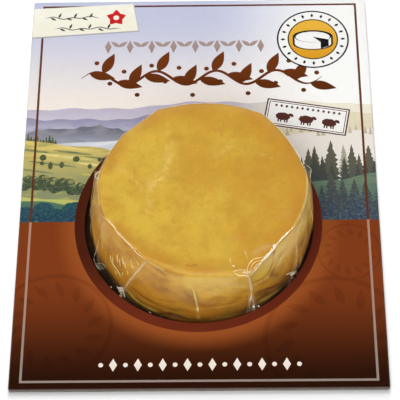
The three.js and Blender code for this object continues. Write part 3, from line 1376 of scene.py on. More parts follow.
@dataclass
class CartonSleeve:
    """The folded carton: printed front with the window, worn folds with painted sheen, printed back, inside
    painted as shade.
    """

    size: SleeveSize
    effects: Effects
    fold_steps: int = 4
    corner_steps: int = 6
    window_sides: int = 144
    skin: Skin = field(default_factory=Skin)
    wear_and_sheen: dict[int, float] = field(default_factory=dict)

    def front_outline(self) -> Outline:
        """Gives the outline of the flat front, inside the folds.

        Returns:
            The outline.
        """
        inset = self.size.fold_radius + self.size.corner
        half_w, half_l = self.size.width / 2 - inset, self.size.length / 2 - inset
        outline = []
        corners = ((half_w, half_l), (-half_w, half_l), (-half_w, -half_l), (half_w, -half_l))
        for quarter, (x, y) in enumerate(corners):
            for step in range(self.corner_steps + 1):
                turn = math.pi / 2 * (quarter + step / self.corner_steps)
                outline.append((x + self.size.corner * math.cos(turn), y + self.size.corner * math.sin(turn)))
        return outline

    def outward(self, x: float, y: float) -> Point:
        """Gives the direction out of the front's edge at a point on it.

        Args:
            x: Place across the sheet.
            y: Place up the sheet.

        Returns:
            The direction, one unit long.
        """
        inset = self.size.fold_radius + self.size.corner
        out_x = max(0.0, abs(x) - self.size.width / 2 + inset)
        out_y = max(0.0, abs(y) - self.size.length / 2 + inset)
        far = math.hypot(out_x, out_y)
        return (math.copysign(out_x / far, x), math.copysign(out_y / far, y))

    def front_fields(self) -> list[Field]:
        """Gives the whole print from back to front, with the window as a hole.

        Returns:
            The fields, from back to front.
        """
        half_w, half_l = self.size.width / 2, self.size.length / 2
        panel = Panel(self.size)
        made = [Field(self.front_outline(), Inks.SKY)]
        made += Landscape(-half_w, half_w, panel.top, half_l).fields()
        made += panel.fields() + panel.border()
        for part in (Garland(), Badge(), Stamp(), Note(), Footer()):
            made += part.fields()
        made.append(Field(circle(0, self.size.window_y, self.ring_hidden(), self.window_sides), Inks.RING))
        made.append(Field(circle(0, self.size.window_y, self.size.window_radius, self.window_sides), None))
        return made

    def ring_hidden(self) -> float:
        """Gives the radius inside which only the ring shows, just past the window's cut edge."""
        return self.size.window_radius + self.size.board

    def build(self) -> bpy.types.Object:
        """Makes the sleeve as one closed shell and dresses it.

        Returns:
            The sleeve.
        """
        finishes = [ink.value.material(ink.name.lower(), self.effects) for ink in Inks]
        numbers = {ink: index for index, ink in enumerate(Inks)}
        # Painted shade: the inside board is near-black brown, so the gap round the wheel looks dark.
        finishes.append(BoardFinish(screen(36, 21, 8)).material("shaded_board_inside", self.effects))
        shaded_inside_number = len(finishes) - 1
        front = CutSheet.cut(self.front_fields())
        self.skin.points += [(x, y, self.size.depth) for x, y in front.points]
        beside = {}
        for triangle, ink in zip(front.triangles, front.inks):
            self.skin.add_face(triangle, numbers[ink])
            for index in range(3):
                beside[(triangle[index], triangle[(index + 1) % 3])] = numbers[ink]
        outer, window = front.edge_loops()
        back_loop = self.fold_edges(front, outer, beside)
        self.close_back(back_loop, numbers)
        self.close_inside(front, window, numbers[Inks.RING], shaded_inside_number)
        self.skin.values["wear_and_sheen"] = [self.wear_and_sheen.get(index, 0.0) for index in range(len(self.skin.points))]
        piece = self.skin.to_object("carton_sleeve", finishes, sharp=25)
        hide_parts("sleeve")
        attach(piece, ROOT)
        return piece

    def fold_edges(self, front: CutSheet, loop: list[int], beside: dict[tuple[int, int], int]) -> list[int]:
        """Runs the print over the fold, down the wall and under it, with pale wear and painted sheen
        strongest at the lower fold.

        Args:
            front: The cut front.
            loop: Point numbers of its outer edge.
            beside: The material number beside each side of a triangle.

        Returns:
            Point numbers of the edge of the back.
        """
        radius, depth = self.size.fold_radius, self.size.depth
        bends = [math.pi / 2 * step / self.fold_steps for step in range(1, self.fold_steps + 1)]
        rings = [(radius * math.sin(bend), depth - radius * (1 - math.cos(bend))) for bend in bends]
        rings += [(radius * math.cos(bend), radius * (1 - math.sin(bend))) for bend in [0.0, *bends]]
        previous = loop
        for number, (out, height) in enumerate(rings):
            first = len(self.skin.points)
            for index in loop:
                x, y = front.points[index]
                out_x, out_y = self.outward(x, y)
                self.skin.points.append((x + out_x * out, y + out_y * out, height))
            ring = list(range(first, first + len(loop)))
            # How much pale board shows on each ring of the fold, as wear and as painted sheen.
            self.wear_and_sheen.update(dict.fromkeys(ring, min(number + 1, 2 * (len(rings) - 1 - number)) / len(rings)))
            for index in range(len(loop)):
                after = (index + 1) % len(loop)
                ink = beside[(loop[index], loop[after])]
                self.skin.add_face((previous[index], ring[index], ring[after], previous[after]), ink)
            previous = ring
        return previous

    def close_back(self, loop: list[int], numbers: dict[Inks, int]) -> None:
        """Closes the back with its print.

        Args:
            loop: Point numbers of the back's edge.
            numbers: The material number of each ink.
        """
        outline = [self.skin.points[index][:2] for index in loop]
        back = CutSheet.cut(BackPrint().fields(outline))
        known = {self.key(point): index for point, index in zip(outline, loop)}
        placed = self.place_points(back, 0.0, known)
        for triangle, ink in zip(back.triangles, back.inks):
            self.skin.add_face([placed[index] for index in reversed(triangle)], numbers[ink])

    def close_inside(self, front: CutSheet, loop: list[int], ring_ink: int, inside: int) -> None:
        """Adds the window's cut edge and the space behind the front, its board painted near-black as shade.

        Args:
            front: The cut front.
            loop: Point numbers of the window's edge.
            ring_ink: The ring's material number.
            inside: The material number of the inside board, painted near-black as shade.
        """
        board, depth = self.size.board, self.size.depth
        low = depth - board
        first = len(self.skin.points)
        self.skin.points += [(*front.points[index], low) for index in loop]
        ring = list(range(first, first + len(loop)))
        self.skin.add_band(loop, ring, ring_ink)
        half_w, half_l = self.size.width / 2 - board, self.size.length / 2 - board
        corners = rectangle(-half_w, -half_l, half_w, half_l)
        hole = [front.points[index] for index in loop]
        under = CutSheet.cut([Field(corners, Inks.PANEL), Field(hole, None)])
        known = {self.key(point): ring[index] for index, point in enumerate(hole)}
        upper = self.place_points(under, low, known)
        for triangle in under.triangles:
            self.skin.add_face([upper[index] for index in reversed(triangle)], inside)
        lower = {}
        for point in corners:
            lower[self.key(point)] = len(self.skin.points)
            self.skin.points.append((*point, board))
        tops = [upper[self.nearest(under, point)] for point in corners]
        floors = [lower[self.key(point)] for point in corners]
        self.skin.add_band(tops, floors, inside)
        self.skin.add_face(floors, inside)

    @staticmethod
    def key(point: Sequence[float]) -> tuple[int, int]:
        """Gives a point's place in hundredths of a mm, to find it again."""
        return (round(point[0] * 100), round(point[1] * 100))

    def place_points(self, sheet: CutSheet, height: float,
                     known: dict[tuple[int, int], int]) -> dict[int, int]:
        """Adds a cut sheet's used points at a height, apart from those that are there already.

        Args:
            sheet: The cut sheet.
            height: The height of its points.
            known: Point numbers by place, to which new ones are added.

        Returns:
            The mesh's point number for each point of the sheet.
        """
        numbers = {}
        for index, point in enumerate(sheet.points):
            if self.key(point) not in known:
                known[self.key(point)] = len(self.skin.points)
                self.skin.points.append((*point, height))
            numbers[index] = known[self.key(point)]
        return numbers

    @staticmethod
    def nearest(sheet: CutSheet, point: Point) -> int:
        """Gives the number of the sheet's point that is nearest to a place."""
        return min(range(len(sheet.points)), key=lambda index: math.dist(sheet.points[index], point))


# Wheel


@dataclass(frozen=True)
class Pleat:
    """Where the film's pleat leaves the rim and where it meets the board.

    ear is how far it stands out of the rim, run is the rim's way to the next pleat, from 0 straight to 1
    round, and crisp is how sharp the rim is on that way, from 0 to 1.
    """

    rim_angle: float
    foot_angle: float
    rim_radius: float
    ear: float
    foot_radius: float
    run: float
    crisp: float


RIGHT_EAR = Pleat(9, 8, 48.1, 1.8, 53.4, 0.62, 0.25)
LEFT_EAR = Pleat(170, 173, 48.6, 1.9, 53, 0.9, 0.8)
LEFT_PLEAT = Pleat(201.6, 205.5, 47.9, 0.3, 53.2, 0.1, 1)
FRONT_LEFT_PLEAT = Pleat(237.2, 224.6, 46.9, 0.2, 53, 0.9, 0)
FRONT_RIGHT_PLEAT = Pleat(292.6, 298.7, 51.4, 0.2, 53.4, 0.05, 1)
RIGHT_PLEAT = Pleat(331, 322.0, 46.9, 0.2, 53.4, 1, 0.6)
PLEATS = (
    RIGHT_EAR,
    Pleat(56, 54, 49.4, 0, 53, 0.6, 0.2),
    Pleat(80, 84, 47.3, 0, 53, 0.65, 0.1),
    Pleat(117, 114, 48.7, 0, 53, 0, 0.3),
    Pleat(142, 145, 47.6, 0, 53, 0.65, 0.3),
    LEFT_EAR,
    LEFT_PLEAT,
    FRONT_LEFT_PLEAT,
    Pleat(264, 270.9, 47.3, 0, 52.8, 0.1, 0.05),
    FRONT_RIGHT_PLEAT,
    RIGHT_PLEAT,
)


@dataclass(frozen=True)
class Rows:
    """How a column of the wheel's surface runs: up the side, over the rim and in to the middle."""

    side: Array
    bend: Array
    top: Array

    @classmethod
    def spaced(cls, side: int, bend: int, top: int, first_bend: float) -> "Rows":
        """Spaces the rows: even up the side and over the rim, and closer near the rim on the top.

        Args:
            side: Rows up the side.
            bend: Rows over the rim.
            top: Rows in to the middle.
            first_bend: The surface's lean where the rim begins, in degrees.

        Returns:
            The rows.
        """
        across = np.linspace(0, 1, top + 1)[1:-1]
        over = np.radians(np.linspace(first_bend, 90, bend + 1)[1:])
        return cls(np.linspace(0, 1, side), over, 1 - across ** 1.35)


# How far along the wheel the rim's rounding ends, and how far it is from there to the middle of the top
RIM_END = 1.08
TOP_RUN = 0.92


@dataclass(frozen=True)
class WheelForm:
    """The form of the wheel, which the cheese and the film over it share."""

    height: float
    floor: float
    wheel_radius: float = 52.3
    base_radius: float = 51.4
    belly_height: float = 10.0
    rim_round: float = 1.8
    soft_round: float = 3.2
    crisp_round: float = 1.0
    crisp_blend: float = 5.0
    first_bend: float = 20.0
    shoulder_power: float = 1.7
    top_dish: float = 0.8
    top_swell: float = 0.35
    base_middle: Point = (0.6, -25.1)
    top_middle: Point = (2.5, -22.3)
    press_depth: float = 1.5
    press_angle: float = 214.0
    press_spread: float = 26.0
    press_height: float = 12.0
    lump: float = 0.35
    lump_waves: tuple[int, ...] = (3, 5, 8)
    lump_size: float = 16.0
    lump_limit: float = 0.25
    side_lumps: float = 1.25
    top_lumps: float = 0.35
    film_share: float = 0.6
    side_rise: float = 0.35
    side_out: float = 0.95
    edge_reach: float = 0.7
    edge_drop: float = 0.35
    window_room: float = 0.3

    @classmethod
    def from_frame(cls, size: SleeveSize, gap: float = 0.3) -> "WheelForm":
        """Reads the wheel's height from the frame.

        Args:
            size: The sleeve's sizes.
            gap: How far the wheel is above the board, in mm.

        Returns:
            The form.
        """
        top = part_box("sealed_cheese")[1][2] / MM
        floor = size.board + gap
        return cls(top - floor, floor)

    @staticmethod
    def pleat_values(name: str) -> Array:
        """Gives one value of every pleat."""
        return np.array([getattr(pleat, name) for pleat in PLEATS])

    def span(self, angle: Array) -> tuple[Array, Array, Array, Array]:
        """Gives the pleat before each angle, the one after, the turn between them and the share of it.

        Args:
            angle: Angles in degrees.

        Returns:
            The number of the pleat before, of the one after, the turn between them and the share.
        """
        starts = self.pleat_values("rim_angle") - PLEATS[0].rim_angle
        turned = np.mod(angle - PLEATS[0].rim_angle, FULL_TURN)
        before = np.searchsorted(starts, turned, side="right") - 1
        after = (before + 1) % len(PLEATS)
        width = np.mod(starts[after] - starts[before], FULL_TURN)
        return before, after, width, (turned - starts[before]) / width

    def rim_radius(self, angle: Array) -> Array:
        """Gives the rim's radius, on a chord or a round run from pleat to pleat.

        Args:
            angle: Angles in degrees.

        Returns:
            The radii.
        """
        before, after, width, share = self.span(angle)
        radii = self.pleat_values("rim_radius")
        here, there = radii[before], radii[after]
        back, ahead = np.radians(share * width), np.radians((1 - share) * width)
        chord = here * there * np.sin(back + ahead) / (here * np.sin(back) + there * np.sin(ahead))
        rounded = here + (there - here) * share
        return chord + (rounded - chord) * self.pleat_values("run")[before]

    def foot_turn(self, angle: Array) -> Array:
        """Gives how far the side turns by the board.

        Args:
            angle: Angles in degrees, at the rim.

        Returns:
            The turns in degrees.
        """
        before, after, _, share = self.span(angle)
        turns = self.pleat_values("foot_angle") - self.pleat_values("rim_angle")
        return turns[before] + (turns[after] - turns[before]) * share

    def round_radius(self, angle: Array) -> Array:
        """Gives the radius of the rounding at the rim, small where the film pulls a crisp edge.

        Args:
            angle: Angles in degrees.

        Returns:
            The radii.
        """
        before, after, width, share = self.span(angle)
        crisp = self.pleat_values("crisp")
        turned, blend = share * width, self.crisp_blend
        behind = 0.5 + 0.5 * smooth_step(turned, 0, blend)
        ahead = 0.5 * smooth_step(turned, width - blend, width)
        value = crisp[before - 1] + (crisp[before] - crisp[before - 1]) * behind
        value = value + (crisp[after] - crisp[before]) * ahead
        return self.soft_round + (self.crisp_round - self.soft_round) * np.clip(value, 0, 1)

    def body_radius(self, angle: Array, height: Array) -> Array:
        """Gives the radius of the wheel's side at angles and heights.

        Args:
            angle: Angles in degrees.
            height: Heights above the wheel's foot.

        Returns:
            The radii.
        """
        press = bell(turn_between(angle, self.press_angle), self.press_spread) * self.press_depth
        press = press * np.maximum(0, 1 - height / self.press_height)
        lump = sum(np.sin(np.radians(angle) * waves + height * 0.11 * (order + 1) + order * 2) / (order + 2)
                   for order, waves in enumerate(self.lump_waves))
        rise = np.sin(np.minimum(height / self.belly_height, 1) * np.pi / 2)
        low = self.base_radius + (self.wheel_radius - self.base_radius) * rise
        shoulder = self.height - self.rim_round - self.belly_height
        share = np.clip((height - self.belly_height) / shoulder, 0, 1)
        high = self.wheel_radius + (self.rim_radius(angle) - self.wheel_radius) * share ** self.shoulder_power
        side = np.where(height < self.belly_height, low, high)
        return side - press + self.lump * lump * np.where(height < self.belly_height, 1, 1 - share)

    def top_height(self, angle: Array, share: Array) -> Array:
        """Gives the height of the top, slightly sunk and uneven, by the share of the way to the rim."""
        swell = self.top_swell * np.sin(np.radians(angle) * 2 + 1) * share * (1 - share) * 4
        return self.height - self.top_dish * (1 - share ** 2) + swell

    def place(self, angle: Array, height: Array, radius: Array) -> Array:
        """Gives points at angles, heights and radii round the leaning middle line, inside the window.

        Args:
            angle: Angles in degrees, at the rim.
            height: Heights above the wheel's foot.
            radius: Distances from the middle line.

        Returns:
            The points.
        """
        share = height / self.height
        direction = np.radians(angle + self.foot_turn(angle) * (1 - share))
        middle = [low + (high - low) * share for low, high in zip(self.base_middle, self.top_middle)]
        x = middle[0] + radius * np.cos(direction)
        y = middle[1] + radius * np.sin(direction)
        out = np.hypot(x, y - SleeveSize.window_y)
        kept = np.minimum(1, (SleeveSize.window_radius - self.window_room) / np.maximum(out, 1))
        y = SleeveSize.window_y + (y - SleeveSize.window_y) * kept
        return np.stack([x * kept, y, self.floor + height], -1)

    def columns(self, angle: Array, rows: Rows) -> tuple[Array, Array, Array, Array]:
        """Runs columns up the side, over the rim and in to the middle.

        Args:
            angle: The columns' angles, as a column of numbers.
            rows: Where the rows are.

        Returns:
            Heights, radii, the surface's lean from 0 upright to 90 degrees flat, in radians, and how far
            along each point is: 0 at the board, 1 at the rim's outer edge and 2 at the middle of the top.
        """
        rounding = self.round_radius(angle)
        start = math.radians(self.first_bend)
        side_top = self.height - rounding * (1 - math.sin(start))
        side_height = side_top * rows.side
        edge = self.body_radius(angle, side_top)
        bend_height = self.height - rounding * (1 - np.sin(rows.bend))
        bend_radius = edge + rounding * (np.cos(rows.bend) - math.cos(start))
        rim = bend_radius[:, -1:]
        height = np.hstack([side_height, bend_height, self.top_height(angle, rows.top + 0 * angle)])
        radius = np.hstack([self.body_radius(angle, side_height), bend_radius, rim * rows.top])
        lean = np.concatenate([rows.side * start, rows.bend, np.full(len(rows.top), math.pi / 2)])
        over = np.linspace(1, RIM_END, len(rows.bend) + 1)[1:]
        along = np.concatenate([rows.side, over, RIM_END + TOP_RUN * (1 - rows.top)])
        return height, radius, np.broadcast_to(lean, height.shape), np.broadcast_to(along, height.shape)

    def surface(self, angle: Array, rows: Rows, lift: Array | float) -> Array:
        """Gives the points of columns, moved out of the surface by lift."""
        height, radius, lean, _ = self.columns(angle, rows)
        return self.place(angle, height + lift * np.sin(lean), radius + lift * np.cos(lean))

    def lumps(self, points: Array, along: Array) -> Array:
        """Gives how far the cheese's lumps stand out at points, of which the film follows its share."""
        flatter = self.side_lumps - (self.side_lumps - self.top_lumps) * smooth_step(along, 0.9, 1.1)
        return np.minimum(0.4 * noise_at(points, self.lump_size, 3.0) * flatter, self.lump_limit)

    def at(self, turn: Array, reach: Array, lift: Array | float = 0.0) -> Array:
        """Gives points by turn and reach: how far in from the rim on the top, or below it if negative.

        Args:
            turn: Angles in degrees, at the rim.
            reach: How far in from the rim.
            lift: How far out of the surface.

        Returns:
            The points.
        """
        rim = self.rim_radius(turn)
        inner = np.clip(1 - reach / rim, 0, 1)
        drop = np.maximum(0, -reach)
        side_height = self.height - drop
        side_radius = self.body_radius(turn, side_height)
        on_top = reach > 0
        height = np.where(on_top, self.top_height(turn, inner) + lift, side_height + lift * self.side_rise)
        radius = np.where(on_top, rim * inner, side_radius + lift * self.side_out)
        edge = bell(reach, self.edge_reach) * self.edge_drop
        return self.place(turn, height - edge, radius - edge)


@dataclass(frozen=True)
class SideMark:
    """A soft line on the cheese's side, from one place to another by angle and height.

    strength is how deep a crease is, in mm, or how much a mark paints light on the rind, or paints shade if
    negative.
    """

    start: Point
    end: Point
    strength: float
    width: float


def side_marks(*rows: tuple[float, ...]) -> tuple[SideMark, ...]:
    """Makes marks from rows of start angle and height, end angle and height, strength and width."""
    return tuple(SideMark(row[:2], row[2:4], *row[4:]) for row in rows)


# Creases sink the rind, and their depth also darkens its colour as painted shade.
CREASES = side_marks(
    (240.5, 31, 250.2, 28.9, 0.55, 1.1), (238.4, 14.1, 244, 11.1, 0.6, 1.3),
    (244, 11.1, 249.2, 9.9, 0.7, 1.3), (249.2, 9.9, 258, 9, 0.4, 1.2), (250.6, 14.1, 257, 15.4, 0.35, 0.9),
    (254.4, 4.4, 257.8, 3.2, 2.4, 1.5), (244, 23.5, 249.5, 19, 0.35, 1.2),
    (263.8, 13.9, 277.2, 14.1, 0.5, 1), (277.2, 14.1, 285.5, 13, 0.4, 1), (268, 22.5, 277, 26, 0.3, 1.2),
    (278, 22, 287, 19, 0.3, 1.2), (295, 23.7, 301, 21.8, 0.6, 0.6), (301, 21.8, 306, 22.1, 0.7, 0.6),
    (306, 22.1, 310.2, 25.3, 0.8, 0.6), (310.2, 25.3, 313.4, 28.3, 0.6, 0.6),
    (307.8, 21.1, 311.8, 22.9, 0.5, 0.7), (311.8, 22.9, 318.4, 25.1, 0.5, 0.8),
    (318.4, 25.1, 324, 24.5, 0.4, 0.9), (306.5, 21, 316.8, 15, 0.5, 0.9),
    (294.6, 14.9, 304, 13.3, 0.7, 0.9), (304, 13.3, 310, 9.3, 0.7, 0.9), (310, 9.3, 319.2, 7.3, 0.6, 1),
    (313.2, 29.6, 314.2, 28.8, 1, 0.7), (336, 15.9, 340.4, 17.9, 0.9, 0.6),
    (333.4, 16.9, 336.2, 18.7, 0.6, 0.8), (350, 26, 345, 6, 0.5, 1.6),
    (217.2, 17.1, 225.2, 16.5, 0.6, 0.7), (225.2, 16.5, 230.4, 14.9, 0.7, 0.7),
    (196, 24, 204.4, 15.5, 0.6, 1.2), (184, 26, 181, 8, 0.5, 1.8), (209, 25, 214, 12, 0.4, 1.2),
    (30, 25, 36, 9, 0.5, 1.6), (62, 22, 70, 6, 0.6, 1.6), (96, 26, 101, 10, 0.5, 1.5),
    (128, 24, 122, 7, 0.6, 1.6), (154, 27, 158, 11, 0.5, 1.5),
)

# Painted light and shade on the side: positive marks paint lit bands on folds, negative ones paint shade in
# creases and hollows.
LIGHT_AND_SHADE_MARKS = side_marks(
    (296, 27, 309.4, 27.6, 0.7, 2), (309.4, 27.6, 326, 29.6, 0.8, 2.2), (298, 24.6, 305.6, 24.6, 0.5, 1.4),
    (313.6, 21.9, 322, 25.7, 0.7, 1.6), (297, 6, 308, 4.4, 0.7, 1.8), (308, 4.4, 320, 3, 0.5, 1.8),
    (329, 6, 332.5, 16, 0.8, 1.6), (336, 24, 352, 26, 0.7, 2.2), (352, 20, 358, 8, 0.6, 1.6),
    (238, 9.9, 242.4, 5, 0.7, 1.5), (242.4, 5, 251, 3.6, 0.7, 1.4), (256, 5.6, 262, 5.4, 0.5, 1.2),
    (268, 4, 284, 3.6, 0.35, 1.6), (190, 17, 200, 12.5, 0.6, 1.8), (248, 29, 285, 29, 0.5, 2.6),
    (267.6, 21, 281, 23, 0.4, 2), (324.2, 15.3, 318.8, 21.9, 0.4, 2), (336.8, 13, 338, 4, 0.7, 1),
    (313.4, 29.7, 314.4, 28.5, -1.6, 0.9), (204, 27, 206, 12, 0.4, 2), (210, 27, 222, 27.4, 0.3, 1.6),
    (222.5, 23, 227.5, 19.5, -0.45, 1.5), (212, 22, 216, 18, -0.3, 1.6), (228, 24, 234, 25, 0.3, 1.8),
    (240.5, 27.5, 250.5, 25.5, -0.4, 1.4), (245, 29.9, 251.2, 28.4, -0.6, 0.7),
    (247, 22.4, 255, 20.6, -0.5, 2), (255.5, 26, 261.5, 24, -0.35, 2.6), (258, 20.8, 266.6, 19.6, -0.5, 3),
    (259, 17, 266.4, 15.8, -0.35, 2.2), (263.8, 12.4, 263.4, 3.6, 0.7, 0.5), (243, 17, 252, 16, 0.35, 1.8),
    (334.6, 22.3, 341, 15, -0.5, 3.4), (346, 24, 350, 10, -0.4, 3), (307.8, 20.4, 312, 22.2, -0.6, 1.6),
    (312, 22.2, 320, 27, -0.4, 1.2), (294.6, 13.9, 304, 12.3, -0.7, 1.8), (304, 12.3, 318, 9.6, -0.7, 2),
    (308, 19.4, 317, 14, -0.5, 1.6), (320, 12, 332, 9, -0.7, 3.2), (240, 18, 258, 14, -0.3, 4),
    (255, 11, 262, 11, -0.4, 2.4), (254.4, 3.8, 268, 1, -0.9, 2), (253.4, 3.6, 257.8, 3, -2.4, 1.5),
    (268, 1, 290, 0.5, -0.9, 2), (222, 5.5, 236, 2.5, -0.7, 2.6), (266, 12.4, 286, 11.6, -0.4, 1.8),
    (204, 14, 212, 6, -0.4, 2.6), (236.5, 13, 243, 10, -0.5, 1.6), (196, 22.5, 202.5, 17, -0.4, 1.2),
)


# The top's pale forked streak, a painted sheen of the film, and the painted shade of a small crease near its
# front, as lines seen from above
FILM_SHEEN_STREAKS = (
    (-14.4, 7, -14.8, -8, 1.8, 0.35), (-12.4, -5, -16.3, -17, 2.6, 0.6), (-12, 1, -14.5, -8, 4.2, 0.35),
    (-16.3, -17, -22, -23.5, 2.6, 0.75), (-17.5, -17, -24, -22, 5.6, 0.4),
    (-28.5, -19, -22, -26, 1.8, 0.55), (-21.5, -25, -22.5, -36, 2.6, 0.45),
    (-38, -11, -29, -18, 3.4, 0.35), (-22, -17, -9, -15, 2, 0.22), (8, -6, 15, -1, 2.2, 0.3),
    (28, -5, 34, -7.5, 1.6, 0.3), (-14.8, 24, -14.4, 7, 1.6, 0.2),
)
SMALL_CREASE_SHADE = (
    (-5.1, -64.2, -3, -64.9, 0.6, 0.7), (-3, -64.9, -1.1, -63.8, 0.6, 0.7),
    (-1.1, -63.8, -0.5, -64.5, 0.6, 0.7),
)


@dataclass(frozen=True)
class RindFinish:
    """Golden smoked rind: warm ochre patches, deeper at the rim, browner down the side, with painted light
    and shade.
    """

    gold: Colour = screen(202, 152, 38)
    yellow: Colour = screen(216, 177, 58)
    amber: Colour = screen(199, 142, 30)
    rim: Colour = screen(197, 137, 26)
    # pale is painted light: the sheen under the rim and the lit marks on the side.
    pale: Colour = screen(212, 176, 68)
    # streak paints the film's sheen as pale streaks on the top.
    streak: Colour = screen(238, 200, 108)
    side: Colour = screen(198, 148, 36)
    brown: Colour = screen(162, 102, 14)
    # base is painted shade by the board.
    base: Colour = screen(86, 62, 4)
    # dark is painted shade, in creases and in the shaded marks.
    dark: Colour = screen(104, 58, 6)
    # The deepest painted shade, in a hollow.
    hollow_shade: Colour = screen(38, 20, 2)

    def material(self, effects: Effects) -> Material:
        """Makes the rind from soft patches, grain, the wheel's zones and its creases.

        Args:
            effects: The node groups that materials share.

        Returns:
            The material.
        """
        made, kit, output = new_material("smoked_rind")
        spot = kit.spot()
        place = kit.group(effects.place).outputs
        along = kit.carried("along")
        crease = kit.carried("crease")
        clouds = kit.noise(spot, 24, 6.0, 0.62)
        blots = kit.noise(spot, 5, 5.0, 0.68)
        # Painted light: the top is yellower toward the lit left side.
        painted_left_light = kit.times(kit.minus(place["X"], 8.0), -0.011)
        yellowness = kit.plus(kit.ramp(clouds, 0.3, 0.7), painted_left_light, clamp=True)
        top = kit.mix(yellowness, self.gold, self.yellow)
        top = kit.mix(kit.ramp(blots, 0.45, 0.75, 0.0, 0.55), top, self.amber)
        broken = kit.ramp(kit.noise(spot, 2.6, 4.0, 0.6), 0.36, 0.62, 0.1, 1.0)
        marks = kit.times(self.streaks(kit, effects, FILM_SHEEN_STREAKS), broken)
        near_rim = kit.times(kit.ramp(along, 1.26, 1.1), kit.ramp(kit.noise(spot, 12, 3.0), 0.3, 0.62))
        for share, over in (
            # painted sheen of the film
            (marks, self.streak),
            (kit.times(near_rim, 0.8), self.rim),
            # painted shade: deeper amber toward the right
            (kit.ramp(place["X"], 22.0, 50.0, 0.0, 0.55), self.amber),
            # painted shade of a small crease
            (self.streaks(kit, effects, SMALL_CREASE_SHADE), self.brown),
        ):
            top = kit.mix(share, top, over)
        side = self.side_colour(kit, spot, along, place["X"])
        colour = kit.mix(kit.ramp(along, 1.0, 1.07), side, top)
        # Painted shade: darker in the creases, by their depth.
        colour = kit.mix(kit.ramp(crease, 0.08, 0.9, 0.0, 0.65), colour, self.dark)
        grain = kit.group(effects.grain, Size=0.9, Contrast=0.22).outputs
        colour = kit.grained(colour, grain["Shade"])
        height = kit.plus(kit.times(blots, 0.8), kit.times(grain["Height"], 0.2))
        kit.coat(output, Base_Color=colour, Roughness=0.55, Specular_IOR_Level=0.3,
                 Normal=kit.bump(height, 0.35, 0.5), Subsurface_Weight=0.12,
                 Subsurface_Radius=(1.0, 0.5, 0.15), Subsurface_Scale=2 * MM)
        return made

    @staticmethod
    def streaks(kit: NodeKit, effects: Effects, lines: Sequence[tuple[float, ...]]) -> Socket:
        """Gives soft marks along lines on the top. Each line has its two ends, its width and its strength.

        Args:
            effects: The node groups that materials share.
            lines: The lines, in mm.

        Returns:
            How strong the marks are.
        """
        total = 0.0
        for start_x, start_y, end_x, end_y, width, strength in lines:
            ends = {"Start_X": start_x, "Start_Y": start_y, "End_X": end_x, "End_Y": end_y}
            streak = kit.group(effects.streak, **ends, Width=width).outputs[0]
            total = kit.math("MAXIMUM", kit.times(streak, strength), total)
        return total

    def side_colour(self, kit: NodeKit, spot: Socket, along: Socket,
                    place_x: Socket) -> Socket:
        """Gives the side's colour: a painted sheen under the rim, marked ochre, painted light and shade
        marks, and painted olive shade by the board.

        Args:
            spot: The place on the object.
            along: How far up the side it is.
            place_x: Its place across the pack, in mm.

        Returns:
            The colour.
        """
        smears = kit.noise(kit.stretched(spot, (1.0, 1.0, 1.6)), 8, 4.0, 0.62)
        at_left = kit.times(kit.ramp(place_x, -5.0, -17.0, 0.0, 0.36), kit.ramp(along, 0.12, 0.4))
        # Painted sheen: a pale band under the rim at the front, where light catches the rounded shoulder.
        painted_rim_sheen = kit.times(kit.ramp(along, 0.5, 0.95), kit.ramp(place_x, -13.0, -2.0, 0.08, 0.68))
        patchy = kit.ramp(kit.noise(spot, 9, 3.0), 0.25, 0.65, 0.5, 1.0)
        # low sets where the painted shade by the board begins: higher to the right and a little to the left.
        low = kit.plus(along, kit.times(kit.minus(smears, 0.5), 0.5))
        low = kit.minus(low, kit.ramp(place_x, -20.0, 50.0, 0.0, 0.10))
        low = kit.minus(low, kit.ramp(place_x, -8.0, -30.0, 0.0, 0.05))
        painted_light = kit.carried("painted_light")
        broken = kit.ramp(kit.noise(spot, 4, 3.0), 0.2, 0.6, 0.5, 1.0)
        # The last three layers paint the light and shade of the marks: lit bands, shade and the deepest shade
        # in hollows.
        layers = (
            (kit.ramp(smears, 0.4, 0.66, 0.0, 0.75), self.brown),
            (kit.ramp(along, 0.8, 0.3, 0.0, 0.55), self.brown),
            (at_left, self.brown),
            (kit.times(painted_rim_sheen, patchy), self.pale),
            # painted shade by the board
            (kit.ramp(low, 0.38, 0.04), self.base),
            (kit.times(kit.ramp(painted_light, 0.0, 0.9, 0.0, 0.9), broken), self.pale),
            (kit.times(kit.ramp(painted_light, 0.0, -0.9, 0.0, 0.9), broken), self.dark),
            (kit.ramp(painted_light, -1.0, -2.2, 0.0, 0.95), self.hollow_shade),
        )
        colour = self.side
        for share, over in layers:
            colour = kit.mix(share, colour, over)
        return colour


